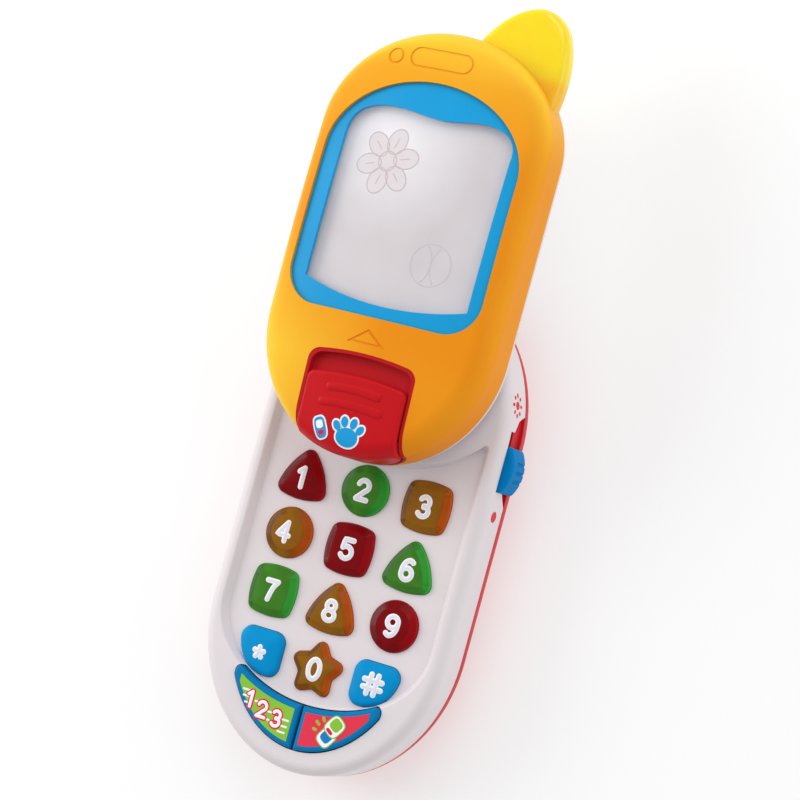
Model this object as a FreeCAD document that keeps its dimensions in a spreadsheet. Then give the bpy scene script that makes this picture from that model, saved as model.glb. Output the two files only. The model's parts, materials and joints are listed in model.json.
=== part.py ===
import FreeCAD, Part
import math
import os
import Sketcher

# Slide-open toy phone lying on its back. +X across, +Y towards the antenna, +Z out of the keypad.
# The origin is the centre of the flat back. The slider is modelled open.

Vector = FreeCAD.Vector
UP = Vector(0, 0, 1)

DIMENSIONS = {
    # base outline: a straight-sided oval with an elliptical end at each side
    "base_half_width": 33.0,
    "base_low_centre": -27.0,
    "base_low_reach": 37.0,
    "base_high_centre": 27.5,
    "base_high_reach": 36.5,
    # heights in the base
    "rear_floor": 1.6,
    "parting_height": 11.5,
    "deck_underside": 18.4,
    "deck_height": 20.0,
    "plateau_underside": 20.2,
    "rim_height": 22.0,
    "wall": 1.8,
    "rim_round": 2.8,
    "back_round": 11.2,
    # keypad recess
    "recess_half_width": 28.0,
    "recess_low_reach": 19.3,
    "recess_draft": 1.0,
    "recess_edge_round": 0.8,
    "recess_corner_round": 0.9,
    "plateau_centre": 31.8,
    "plateau_reach": 17.3,
    "plateau_half_width": 29.0,
    # keys
    "key_pitch_across": 17.0,
    "key_pitch_along": 15.0,
    "key_first_row": 7.5,
    "key_top": 21.8,
    "key_gap": 0.3,
    "key_edge_round": 0.9,
    "circle_key_radius": 6.2,
    "key_side_radius": 18.0,
    "key_corner_radius": 1.9,
    "square_key_inradius": 6.2,
    "triangle_key_inradius": 5.15,
    "triangle_key_drop": 1.0,
    "star_tip_reach": 5.3,
    "star_tip_radius": 1.5,
    "star_waist_reach": 6.2,
    "star_waist_radius": 1.4,
    "star_key_drop": 0.65,
    "corner_key_radius": 2.8,
    "corner_key_sweep": 9.0,
    "corner_key_outer": 22.1,
    "corner_key_inner": 10.1,
    "corner_key_above": 5.2,
    "corner_key_below": 5.8,
    "corner_flange_margin": 0.6,
    "flange_margin": 1.0,
    "flange_bottom": 17.1,
    "flange_top": 18.1,
    "crescent_half_width": 24.7,
    "crescent_reach": 31.3,
    "crescent_inner_width": 28.6,
    "crescent_inner_reach": 20.3,
    "crescent_top": 23.0,
    "crescent_split": 0.6,
    "crescent_edge_round": 1.0,
    "crescent_blunt": 2.4,
    "crescent_inner_tip_round": 1.3,
    "crescent_outer_tip_round": 2.2,
    # circuit, membrane, speaker and cells in the base
    "board_half_width": 24.0,
    "board_low_reach": 32.0,
    "board_end": 13.1,
    "board_bottom": 12.5,
    "board_thickness": 1.5,
    "membrane_thickness": 0.9,
    "membrane_margin": 0.5,
    "membrane_dome_radius": 2.6,
    "membrane_dome_rise": 0.9,
    "speaker_centre": -30.0,
    "sound_chip_x": -16.0,
    "sound_chip_y": -12.0,
    "sound_chip_size": 9.0,
    "sound_chip_height": 1.6,
    "speaker_radius": 14.0,
    "speaker_seat": 1.7,
    "cell_radius": 5.25,
    "cell_length": 44.5,
    "cell_nub_radius": 1.9,
    "cell_nub_length": 1.0,
    "cell_centre_height": 6.85,
    "cell_first_row": 20.2,
    "cell_second_row": 31.9,
    "contact_face": 25.3,
    "contact_thickness": 0.4,
    "contact_width": 9.6,
    "contact_rise": 8.0,
    "cell_spring_radius": 3.0,
    "cell_spring_wire": 0.35,
    "box_half_length": 26.0,
    "box_low": 14.6,
    "box_high": 37.5,
    "box_ceiling": 12.4,
    "box_wall": 1.2,
    "box_soft_edge": 1.2,
    "door_half_width": 22.4,
    "door_low": 14.4,
    "door_high": 37.6,
    "door_thickness": 1.4,
    "door_tongue_half": 5.0,
    "door_tongue_end": 43.6,
    "door_screw_row": 40.6,
    "part_gap": 0.2,
    # screws
    "screw_head_radius": 2.3,
    "screw_head_height": 1.6,
    "screw_shank_radius": 1.1,
    "base_screw_seat": 3.4,
    "base_screw_end": 15.5,
    "base_screw_low_x": 27.0,
    "base_screw_low_y": -20.0,
    "base_screw_high_x": 20.5,
    "base_screw_high_y": 42.0,
    # side switch
    "notch_low": 12.0,
    "notch_high": 35.2,
    "notch_top": 19.3,
    "knob_low": 15.5,
    "knob_high": 27.0,
    "knob_bottom": 9.7,
    "knob_height": 9.2,
    "knob_proud": 2.5,
    "knob_root": 0.7,
    "knob_corner": 1.1,
    "knob_soft_edge": 1.0,
    "switch_board_x": 19.6,
    "switch_board_y": 15.0,
    "switch_board_width": 8.2,
    "switch_board_length": 21.0,
    "switch_board_thickness": 0.8,
    "switch_case_x": 21.2,
    "switch_case_y": 17.3,
    "switch_case_width": 6.4,
    "switch_case_length": 12.4,
    "switch_case_height": 3.5,
    "switch_slot_x": 24.6,
    "switch_slot_y": 18.4,
    "switch_slot_bottom": 15.0,
    "switch_slot_width": 4.0,
    "switch_slot_length": 10.2,
    "switch_slot_height": 1.8,
    "lever_x": 24.9,
    "lever_inset": 0.3,
    "lever_bottom": 15.1,
    "lever_length": 2.4,
    "lever_height": 1.4,
    "arm_low": 20.0,
    "arm_width": 3.0,
    "arm_bottom": 14.6,
    "arm_height": 2.0,
    "arm_inner_end": 28.2,
    "shutter_face": 29.7,
    "shutter_thickness": 0.6,
    "shutter_low": 11.4,
    "shutter_high": 31.2,
    "shutter_bottom": 15.0,
    "tab_top": 16.2,
    "switch_travel": 3.6,
    # slider
    "slider_half_width": 30.5,
    "slider_low_centre": 45.0,
    "slider_low_reach": 31.0,
    "slider_high_centre": 94.0,
    "slider_high_reach": 26.5,
    "slider_underside": 23.0,
    "slider_floor": 24.8,
    "slider_parting": 27.0,
    "slider_crown": 43.0,
    "slider_edge_round": 6.0,
    "slider_lower_round": 3.8,
    "slider_skin": 2.0,
    "crown_radius_across": 210.0,
    "crown_radius_along": 470.0,
    "slider_travel": 56.0,
    # guide between base and slider
    "post_half_width": 4.2,
    "post_low": 36.0,
    "post_high": 56.0,
    "post_top": 25.1,
    "post_corner": 1.5,
    "guide_plate_half_width": 8.0,
    "guide_plate_overlap": 2.0,
    "guide_plate_thickness": 1.5,
    "guide_gap": 0.3,
    "rib_centre": 19.8,
    "rib_width": 1.6,
    "rib_top": 22.7,
    # screen
    "screen_half_width": 26.0,
    "screen_low": 47.9,
    "screen_corner": 9.0,
    "screen_high_centre": 87.0,
    "screen_high_reach": 19.7,
    "screen_recess": 0.9,
    "border_thickness": 1.2,
    "lens_thickness": 1.0,
    "panel_thickness": 1.0,
    "screen_overlap": 1.8,
    # thumb slide and its tray
    "tray_half_width": 14.5,
    "tray_high": 39.0,
    "tray_low": 12.0,
    "tray_corner": 3.2,
    "tray_wall": 0.8,
    "tray_floor": 39.6,
    "tray_bottom": 27.2,
    "tray_step": 26.0,
    "tray_low_floor": 28.6,
    "tray_foot": 26.8,
    "tray_foot_round": 9.4,
    "thumb_high": 33.5,
    "thumb_gap": 0.3,
    "thumb_step": 20.7,
    "thumb_proud": 0.9,
    "thumb_end_round": 3.6,
    "thumb_corner": 2.0,
    "thumb_soft_edge": 0.9,
    "thumb_switch_y": 32.4,
    "thumb_switch_width": 6.0,
    "thumb_switch_depth": 3.2,
    "thumb_switch_height": 5.6,
    "thumb_button_root": 0.2,
    "thumb_button_radius": 1.1,
    "thumb_button_length": 0.8,
    "slider_board_width": 44.0,
    "slider_board_y": 45.0,
    "slider_board_length": 58.0,
    "slider_tongue_width": 24.0,
    "slider_tongue_y": 28.0,
    "slider_tongue_length": 18.0,
    "light_length": 3.5,
    "light_width": 2.8,
    "light_height": 1.9,
    "bulb_x": 14.2,
    "bulb_y": 98.0,
    "bulb_rise": 1.7,
    "bulb_radius": 1.5,
    "bulb_length": 5.0,
    "plunger_height": 34.0,
    "plunger_radius": 1.2,
    "plunger_end": 27.9,
    "thumb_spring_radius": 2.3,
    "thumb_spring_wire": 0.25,
    # antenna
    "antenna_bottom": 27.0,
    "antenna_top": 33.0,
    "antenna_round": 2.2,
    # embossed marks on the slider
    "slot_mark_low": -7.2,
    "slot_mark_high": 4.6,
    "slot_mark_row": 112.3,
    "slot_mark_radius": 2.6,
    "dot_mark_x": -13.6,
    "dot_mark_row": 111.6,
    "dot_mark_radius": 2.1,
    "mark_band": 0.55,
    "mark_depth": 0.3,
    # slider electronics
    "slider_board_bottom": 29.3,
    "slider_board_thickness": 1.4,
    "slider_screw_end": 34.0,
}

doc = FreeCAD.newDocument("toy_cell_phone")
sheet = doc.addObject("Spreadsheet::Sheet", "Dimensions")
for row, (alias, value) in enumerate(DIMENSIONS.items(), start=1):
    sheet.set(f"A{row}", alias)
    sheet.set(f"B{row}", str(value))
    sheet.setAlias(f"B{row}", alias)
doc.recompute()


def dim(alias):
    """A driving dimension, read back from the spreadsheet."""
    return float(getattr(sheet, alias))


def cell(expression):
    """An expression on sheet aliases, written with $ before each alias."""
    return expression.replace("$", "Dimensions.")


# ---------------------------------------------------------------- sub-parts

sub_parts = []


def keep(obj, label):
    """Register a document object as a sub-part."""
    obj.Label = label
    sub_parts.append(obj)
    return obj


def shaped(label, shape):
    """A sub-part whose form is moulded, made from a computed shape."""
    feature = doc.addObject("Part::Feature", label)
    feature.Shape = shape
    feature.Placement = shape.Placement
    return keep(feature, label)


def primitive(kind, name, **sizes):
    """A Part primitive with each size bound to an expression."""
    obj = doc.addObject(kind, name)
    for prop, expression in sizes.items():
        obj.setExpression(prop.replace("__", "."), cell(expression))
    return obj


def block(name, x, y, z, length, width, height):
    """A box from its low corner and sizes, all as expressions."""
    return primitive(
        "Part::Box", name, Placement__Base__x=x, Placement__Base__y=y, Placement__Base__z=z,
        Length=length, Width=width, Height=height)


def rod(name, x, y, z, radius, height):
    """An upright cylinder, all as expressions."""
    return primitive(
        "Part::Cylinder", name, Placement__Base__x=x, Placement__Base__y=y, Placement__Base__z=z,
        Radius=radius, Height=height)


def fused(label, pieces):
    obj = doc.addObject("Part::MultiFuse", label)
    obj.Shapes = pieces
    return obj


def grouped(label, pieces):
    """Several separate solids that share one sub-part."""
    obj = doc.addObject("Part::Compound", label)
    obj.Links = pieces
    return keep(obj, label)


# ------------------------------------------------------- part design helpers

def origin_plane(body, role):
    return next(item for item in body.Origin.OriginFeatures if item.Role == role)


def new_body(label):
    return keep(doc.addObject("PartDesign::Body", label), label)


def new_sketch(body, name, level="0", role="XY_Plane"):
    """A sketch on one of the body's own origin planes, raised to a level given as an expression."""
    sketch = body.newObject("Sketcher::SketchObject", name)
    sketch.AttachmentSupport = (origin_plane(body, role), "")
    sketch.MapMode = "FlatFace"
    sketch.setExpression("AttachmentOffset.Base.z", cell(level))
    return sketch


def flat_arc(edge):
    """A circular edge as a counter-clockwise sketch arc."""
    centre = Vector(edge.Curve.Center.x, edge.Curve.Center.y, 0)
    first, last = edge.ParameterRange
    middle = edge.valueAt((first + last) / 2) - edge.Curve.Center
    start = edge.valueAt(first) - edge.Curve.Center
    sweep = abs(last - first)
    low = math.atan2(middle.y, middle.x) - sweep / 2
    circle = Part.Circle(centre, UP, start.Length)
    return Part.ArcOfCircle(circle, low, low + sweep)


def draw_wire(sketch, wire):
    """Copy a flat wire of lines and circular arcs into a sketch and lock it there."""
    for edge in wire.Edges:
        if edge.Curve.TypeId == "Part::GeomLine":
            ends = [Vector(v.Point.x, v.Point.y, 0) for v in edge.Vertexes]
            number = sketch.addGeometry(Part.LineSegment(*ends), False)
        elif len(edge.Vertexes) == 1:
            centre = Vector(edge.Curve.Center.x, edge.Curve.Center.y, 0)
            number = sketch.addGeometry(Part.Circle(centre, UP, edge.Curve.Radius), False)
        else:
            number = sketch.addGeometry(flat_arc(edge), False)
        sketch.addConstraint(Sketcher.Constraint("Block", number))


def draw_circle(sketch, x, y, radius):
    """A circle whose centre and radius are expressions."""
    number = sketch.addGeometry(Part.Circle(Vector(1, 1, 0), UP, 1), False)
    for kind, expression in (("DistanceX", x), ("DistanceY", y)):
        index = sketch.addConstraint(Sketcher.Constraint(kind, -1, 1, number, 3, 1))
        sketch.setExpression(f"Constraints[{index}]", cell(expression))
    index = sketch.addConstraint(Sketcher.Constraint("Radius", number, 1))
    sketch.setExpression(f"Constraints[{index}]", cell(radius))


def draw_profile(sketch, points):
    """A closed polygon of radius and height pairs for a turned piece, each given as expressions."""
    count = len(points)
    spread = [Vector(1 + 0.1 * n, 1 + 0.2 * n * n, 0) for n in range(count)]
    lines = [sketch.addGeometry(Part.LineSegment(spread[n], spread[(n + 1) % count]), False)
             for n in range(count)]
    for n in range(count):
        sketch.addConstraint(Sketcher.Constraint("Coincident", lines[n], 2, lines[(n + 1) % count], 1))
    for line, (radius, height) in zip(lines, points):
        for kind, expression in (("DistanceX", radius), ("DistanceY", height)):
            index = sketch.addConstraint(Sketcher.Constraint(kind, -1, 1, line, 1, 1))
            sketch.setExpression(f"Constraints[{index}]", cell(expression))


def add_pad(body, sketch, name, length):
    pad = body.newObject("PartDesign::Pad", name)
    pad.Profile = sketch
    pad.setExpression("Length", cell(length))
    sketch.Visibility = False
    return pad


def add_through_pocket(body, sketch, name, length):
    """A pocket cut upwards from the sketch."""
    pocket = body.newObject("PartDesign::Pocket", name)
    pocket.Profile = sketch
    pocket.Reversed = True
    pocket.setExpression("Length", cell(length))
    return pocket


def add_fillet(body, base, level, name, radius):
    """Round the edges of a feature that lie at one height."""
    doc.recompute()
    fillet = body.newObject("PartDesign::Fillet", name)
    fillet.Base = (base, edge_names_at(base.Shape, level))
    fillet.setExpression("Radius", cell(radius))


def turned(label, points, x="0", y="0"):
    """A body revolved about its own Z axis and placed at x, y."""
    body = new_body(label)
    sketch = new_sketch(body, label + "_profile", role="XZ_Plane")
    draw_profile(sketch, points)
    turn = body.newObject("PartDesign::Revolution", label + "_turn")
    turn.Profile = sketch
    turn.ReferenceAxis = (sketch, ["V_Axis"])
    turn.Angle = 360
    body.setExpression("Placement.Base.x", cell(x))
    body.setExpression("Placement.Base.y", cell(y))
    return body


# ------------------------------------------------------------ outline helpers

def ellipse_arc(centre, across, along, x_from, x_to, lower, level):
    """The lower or upper stretch of an ellipse on the Y axis, between two values of x."""
    middle = Vector(0, centre, level)
    if across >= along:
        ellipse = Part.Ellipse(Vector(across, centre, level), Vector(0, centre + along, level), middle)
        turns = {True: lambda a: 1.5 * math.pi + a, False: lambda a: 0.5 * math.pi - a}
    else:
        ellipse = Part.Ellipse(Vector(0, centre + along, level), Vector(-across, centre, level), middle)
        turns = {True: lambda a: math.pi + a, False: lambda a: -a}
    ends = sorted(turns[lower](math.asin(x / across)) for x in (x_from, x_to))
    return Part.ArcOfEllipse(ellipse, *ends).toShape()


def line(start, end):
    return Part.makeLine(start, end)


def oval(half_width, low_centre, low_reach, high_centre, high_reach, level, grow=0.0):
    """A straight-sided outline with an elliptical end at each side."""
    side = half_width + grow
    low = ellipse_arc(low_centre, side, low_reach + grow, -side, side, True, level)
    high = ellipse_arc(high_centre, side, high_reach + grow, -side, side, False, level)
    right = line(Vector(side, low_centre, level), Vector(side, high_centre, level))
    left = line(Vector(-side, high_centre, level), Vector(-side, low_centre, level))
    return Part.Wire(Part.__sortEdges__([low, right, high, left]))


def base_outline(level, grow=0.0):
    return oval(dim("base_half_width"), dim("base_low_centre"), dim("base_low_reach"),
                dim("base_high_centre"), dim("base_high_reach"), level, grow)


def slider_outline(level, grow=0.0):
    return oval(dim("slider_half_width"), dim("slider_low_centre"), dim("slider_low_reach"),
                dim("slider_high_centre"), dim("slider_high_reach"), level, grow)


def prism(wire, height):
    return Part.Face(wire).extrude(Vector(0, 0, height))


def box_between(low, high):
    size = [b - a for a, b in zip(low, high)]
    return Part.makeBox(*size, Vector(*low))


def upright(x, y, low, high, radius):
    return Part.makeCylinder(radius, high - low, Vector(x, y, low))


def lies_at(edge, level):
    heights = [v.Point.z for v in edge.Vertexes] + [edge.valueAt(sum(edge.ParameterRange) / 2).z]
    return all(abs(height - level) < 1e-4 for height in heights)


def edges_at(shape, level):
    """Edges that lie wholly at one height."""
    return [edge for edge in shape.Edges if lies_at(edge, level)]


def edge_names_at(shape, level):
    return [f"Edge{n}" for n, edge in enumerate(shape.Edges, start=1) if lies_at(edge, level)]


def mirrored_pair(x, y):
    return [(x, y), (-x, y)]


def rounded(points, radius):
    """A closed polygon with all its corners rounded to one radius."""
    wire = Part.makePolygon([Vector(x, y, 0) for x, y in points + points[:1]])
    return wire.makeOffset2D(-radius).makeOffset2D(radius)


# ------------------------------------------------------------------ key shapes

def arc_chain(circles, grow=0.0):
    """The closed outline that runs round a list of circles, each (x, y, radius), counter-clockwise.

    Neighbouring circles are joined along their common tangent. A negative radius bends inwards.
    """
    if len(circles) == 1:
        x, y, radius = circles[0]
        return Part.Wire(Part.makeCircle(radius + grow, Vector(x, y, 0)))
    facing = []
    for (x0, y0, r0), (x1, y1, r1) in zip(circles, circles[1:] + circles[:1]):
        apart = math.hypot(x1 - x0, y1 - y0)
        tangent = math.acos(max(-1.0, min(1.0, (r0 - r1) / apart)))
        facing.append(math.atan2(y1 - y0, x1 - x0) - tangent)
    arcs = []
    for n, (x, y, radius) in enumerate(circles):
        start = facing[n - 1]
        sweep = (facing[n] - start) % (2 * math.pi)
        if radius < 0:
            sweep -= 2 * math.pi
        reach = radius + grow
        arcs.append([Vector(x + reach * math.cos(start + share * sweep),
                            y + reach * math.sin(start + share * sweep), 0) for share in (0, 0.5, 1)])
    edges = []
    for arc, following in zip(arcs, arcs[1:] + arcs[:1]):
        edges.append(Part.Arc(*arc).toShape())
        if (following[0] - arc[2]).Length > 1e-5:
            edges.append(line(arc[2], following[0]))
    return Part.Wire(edges)


def bulged_polygon(x, y, sides, inradius, first_corner):
    """A regular polygon with gently bulging sides and round corners, as circles for arc_chain."""
    bulge, corner = dim("key_side_radius"), dim("key_corner_radius")
    back = bulge - inradius
    half = math.pi / sides
    reach = math.sqrt((bulge - corner) ** 2 - (back * math.sin(half)) ** 2) - back * math.cos(half)
    circles = []
    for n in range(sides):
        turn = first_corner + 2 * half * n
        circles.append((x + reach * math.cos(turn), y + reach * math.sin(turn), corner))
        turn += half
        circles.append((x - back * math.cos(turn), y - back * math.sin(turn), bulge))
    return circles


def circle_key(x, y):
    return [(x, y, dim("circle_key_radius"))]


def square_key(x, y):
    return bulged_polygon(x, y, 4, dim("square_key_inradius"), math.pi / 4)


def triangle_key(x, y):
    return bulged_polygon(x, y - dim("triangle_key_drop"), 3, dim("triangle_key_inradius"), math.pi / 2)


def star_key(x, y):
    circles = []
    for n in range(5):
        for reach, radius, turn in ((dim("star_tip_reach"), dim("star_tip_radius"), 0),
                                    (dim("star_waist_reach"), -dim("star_waist_radius"), 1)):
            angle = math.pi / 2 + (2 * n + turn) * math.pi / 5
            middle = y - dim("star_key_drop")
            circles.append((x + reach * math.cos(angle), middle + reach * math.sin(angle), radius))
    return circles


def corner_key(x, y):
    """A quadrilateral key whose outer lower corner follows the end of the recess."""
    side = 1 if x > 0 else -1
    small, large = dim("corner_key_radius"), dim("corner_key_sweep")
    outer, inner = dim("corner_key_outer"), dim("corner_key_inner")
    top, bottom = y + dim("corner_key_above"), y - dim("corner_key_below")
    circles = [(inner + small, top - small, small), (inner + small, bottom + small, small),
               (outer - large, bottom + large, large), (outer - small, top - small, small)]
    circles = [(side * cx, cy, radius) for cx, cy, radius in circles]
    return circles if side > 0 else circles[::-1]


def crescent(side, level, outer_grow=0.0, inner_grow=0.0, end_grow=0.0):
    """Half of the crescent below the keys, between two ellipses and the centre line."""
    centre = dim("base_low_centre")
    wide = dim("crescent_half_width") + outer_grow
    reach = dim("crescent_reach") + outer_grow
    inner_wide = dim("crescent_inner_width") - inner_grow
    inner_reach = dim("crescent_inner_reach") - inner_grow
    split = dim("crescent_split") / 2 - end_grow
    point = crossing(dim("crescent_half_width"), dim("crescent_reach"),
                     dim("crescent_inner_width"), dim("crescent_inner_reach"))
    tip = point - dim("crescent_blunt") + end_grow
    outer = ellipse_arc(centre, wide, reach, side * split, side * tip, True, level)
    inner = ellipse_arc(centre, inner_wide, inner_reach, side * split, side * tip, True, level)
    ends = []
    for x in (split, tip):
        ys = [centre - b * math.sqrt(1 - (x / a) ** 2) for a, b in ((wide, reach), (inner_wide, inner_reach))]
        ends.append(line(Vector(side * x, ys[0], level), Vector(side * x, ys[1], level)))
    return Part.Wire(Part.__sortEdges__([outer, inner] + ends))


def round_tip(block, side, grow=0.0):
    """Round the two upright edges at a crescent's tip; the outer one is the one lower down."""
    upright_edges = [edge for edge in block.Edges if edge.BoundBox.ZLength > 2 and side * edge.BoundBox.Center.x > 15]
    outer, inner = sorted(upright_edges, key=lambda edge: edge.BoundBox.Center.y)
    block = block.makeFillet(dim("crescent_inner_tip_round") + grow, [inner])
    where = outer.BoundBox.Center
    outer = [edge for edge in block.Edges if edge.BoundBox.ZLength > 2 and (edge.BoundBox.Center - where).Length < 0.1]
    return block.makeFillet(dim("crescent_outer_tip_round") + grow, outer)


def crossing(a, b, c, d):
    """Where two ellipses with one centre cross, as a value of x."""
    return math.sqrt((b * b - d * d) / (b * b / (a * a) - d * d / (c * c)))


KEY_ROWS = [
    [("key_1", triangle_key), ("key_2", circle_key), ("key_3", square_key)],
    [("key_4", circle_key), ("key_5", square_key), ("key_6", triangle_key)],
    [("key_7", square_key), ("key_8", triangle_key), ("key_9", circle_key)],
    [("key_star", corner_key), ("key_0", star_key), ("key_hash", corner_key)],
]


def key_places():
    """Each key's name, outline circles and centre."""
    for row, keys in enumerate(KEY_ROWS):
        y = dim("key_first_row") - row * dim("key_pitch_along")
        for column, (name, outline) in enumerate(keys):
            x = (column - 1) * dim("key_pitch_across")
            yield name, outline(x, y), x, y


def make_keys():
    """Each key is a cap on a flange that sits under the deck."""
    for name, circles, _, _ in key_places():
        body = new_body(name)
        margin = dim("corner_flange_margin") if name in ("key_star", "key_hash") else dim("flange_margin")
        flange_sketch = new_sketch(body, name + "_flange_outline", "$flange_bottom")
        draw_wire(flange_sketch, arc_chain(circles, margin))
        add_pad(body, flange_sketch, name + "_flange", "$flange_top - $flange_bottom")
        cap_sketch = new_sketch(body, name + "_cap_outline", "$flange_bottom")
        draw_wire(cap_sketch, arc_chain(circles))
        cap = add_pad(body, cap_sketch, name + "_cap", "$key_top - $flange_bottom")
        add_fillet(body, cap, dim("key_top"), name + "_soft_edge", "$key_edge_round")


def make_crescents():
    """The two soft function buttons, cut from one crescent and flanged on the outer side."""
    low = dim("flange_bottom")
    cap = round_tip(prism(crescent(-1, low), dim("crescent_top") - low), -1)
    cap = cap.makeFillet(dim("crescent_edge_round"), edges_at(cap, dim("crescent_top")))
    flange = prism(crescent(-1, low, outer_grow=dim("flange_margin")), dim("flange_top") - low)
    button = cap.fuse(flange).removeSplitter()
    shaped("crescent_button_left", button)
    shaped("crescent_button_right", button.mirror(Vector(0, 0, 0), Vector(1, 0, 0)))


# ----------------------------------------------------------------- base shells

def base_screw_places():
    return (mirrored_pair(dim("base_screw_low_x"), dim("base_screw_low_y"))
            + mirrored_pair(dim("base_screw_high_x"), dim("base_screw_high_y")))


def recess_outline(level, grow):
    """The keypad recess: elliptical below, and hollowed by the plateau arc above."""
    half = dim("recess_half_width") + grow
    low_centre = dim("base_low_centre")
    low = ellipse_arc(low_centre, half, dim("recess_low_reach") + grow, -half, half, True, level)
    across = dim("plateau_half_width") + grow
    along = dim("plateau_reach") - grow
    centre = dim("plateau_centre")
    arch = ellipse_arc(centre, across, along, -half, half, True, level)
    radius = dim("recess_corner_round")
    # slide a circle up the side until it touches the arch
    below, above = low_centre, centre - along * math.sqrt(1 - (half / across) ** 2)
    for _ in range(40):
        height = (below + above) / 2
        heart = Vector(half - radius, height, level)
        gap, nearest, _ = arch.distToShape(Part.Vertex(heart))
        below, above = (height, above) if gap > radius else (below, height)
    touch = nearest[0][0]
    outwards = (touch - heart).normalize() + Vector(1, 0, 0)
    middle = heart + outwards.normalize() * radius
    edges = [low, ellipse_arc(centre, across, along, -touch.x, touch.x, True, level)]
    for side in (-1, 1):
        edges.append(line(Vector(side * half, low_centre, level), Vector(side * half, height, level)))
        edges.append(Part.Arc(Vector(side * half, height, level), Vector(side * middle.x, middle.y, level),
                              Vector(side * touch.x, touch.y, level)).toShape())
    return Part.Wire(Part.__sortEdges__(edges))


def recess_solid():
    """The recess as a stack of drafted bands that round over at the rim."""
    deck, rim = dim("deck_height"), dim("rim_height")
    edge_round = dim("recess_edge_round")
    draft = dim("recess_draft")
    sections = [recess_outline(deck, 0)]
    steps = 4
    for step in range(steps + 1):
        turn = math.radians(20 + 70 * step / steps)
        grow = draft + edge_round * (1 - math.cos(turn))
        sections.append(recess_outline(rim - edge_round * (1 - math.sin(turn)), grow))
    return Part.makeLoft(sections, True, True)


def notch(grow):
    """The side opening for the switch, cut across the wall of the front shell."""
    low, high, top = dim("notch_low"), dim("notch_high"), dim("notch_top")
    bottom = dim("parting_height") - 0.1
    low_foot, high_foot, toe = 3.5, 4.5, 1.5
    slope_top, bend = 15.0, 17.0
    points = [(low, bottom), (low + low_foot, slope_top), (low + low_foot, top), (high - high_foot, top),
              (high - high_foot, bend), (high - toe, slope_top), (high, bottom)]
    wire = Part.makePolygon([Vector(24, y, z) for y, z in points + points[:1]])
    wire = wire.makeOffset2D(grow) if grow else wire
    return Part.Face(wire).extrude(Vector(12, 0, 0))


def make_base_front_shell():
    parting = dim("parting_height")
    rim = dim("rim_height")
    deck = dim("deck_height")
    deck_under = dim("deck_underside")
    shell = prism(base_outline(parting), rim - parting)
    shell = shell.makeFillet(dim("rim_round"), edges_at(shell, rim))
    shell = shell.cut(prism(base_outline(parting, -dim("wall")), deck_under - parting))
    shell = shell.cut(recess_solid())
    # thin the plateau from below
    plateau = prism(base_outline(deck_under, -4.0), dim("plateau_underside") - deck_under)
    shell = shell.cut(plateau.common(box_between((-30, 29, 10), (30, 70, 30))))
    # openings for the keys and the crescent
    for _, circles, _, _ in key_places():
        opening = arc_chain(circles, dim("key_gap"))
        opening.translate(Vector(0, 0, deck_under - 1))
        shell = shell.cut(prism(opening, 4))
    gap = dim("key_gap")
    for side in (-1, 1):
        well = crescent(side, deck_under - 1, outer_grow=gap, inner_grow=gap, end_grow=gap)
        shell = shell.cut(round_tip(prism(well, 8), side, gap))
    shell = shell.cut(notch(0))
    # groove in which the switch's shutter plate slides
    gap = dim("key_gap")
    face = dim("shutter_face")
    shell = shell.cut(box_between(
        (face - dim("shutter_thickness") - gap, dim("shutter_low") - gap, deck_under - 1),
        (face + gap, dim("shutter_high") + dim("switch_travel") + gap,
         dim("knob_bottom") + dim("knob_height") + gap)))
    # guide post and ribs that the slider runs on
    post_half = dim("post_half_width")
    post = box_between((-post_half, dim("post_low"), dim("plateau_underside") - 1),
                       (post_half, dim("post_high"), dim("post_top")))
    post = post.makeFillet(dim("post_corner"), [edge for edge in post.Edges if edge.BoundBox.ZLength > 2])
    shell = shell.fuse(post)
    for side in (-1, 1):
        centre = side * dim("rib_centre")
        half = dim("rib_width") / 2
        rib = box_between((centre - half, 36, rim - 0.5), (centre + half, 50, dim("rib_top")))
        shell = shell.fuse(rib.makeFillet(0.3, edges_at(rib, dim("rib_top"))))
    for x, y in guide_screw_places():
        shell = shell.cut(upright(x, y, deck_under, dim("post_top") + 1, dim("screw_shank_radius")))
    shell = shell.cut(ribbon_passage())
    # screw bosses
    for x, y in base_screw_places():
        above = dim("plateau_underside") if y > 0 else deck_under
        shell = shell.fuse(upright(x, y, parting, above + 0.5, 2.8))
        shell = shell.cut(upright(x, y, parting - 1, dim("base_screw_end"), dim("screw_shank_radius")))
    shaped("base_front_shell", shell.removeSplitter())


def guide_screw_places():
    middle = (dim("post_low") + dim("post_high")) / 2
    return [(0, middle - 6.5), (0, middle + 6.5)]


def ribbon_passage():
    """The way through the guide post for the ribbon cable."""
    middle = (dim("post_low") + dim("post_high")) / 2
    return box_between((-2.8, middle - 2.0, 15), (2.8, middle + 2.0, 30))


def speaker_holes():
    """Sound holes in rings about the speaker's centre."""
    centre = dim("speaker_centre")
    places = [(0, centre)]
    for radius, count in ((4.0, 6), (8.0, 12)):
        for n in range(count):
            turn = 2 * math.pi * n / count
            places.append((radius * math.cos(turn), centre + radius * math.sin(turn)))
    return [upright(x, y, -1, dim("rear_floor") + 1, 0.9) for x, y in places]


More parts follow.
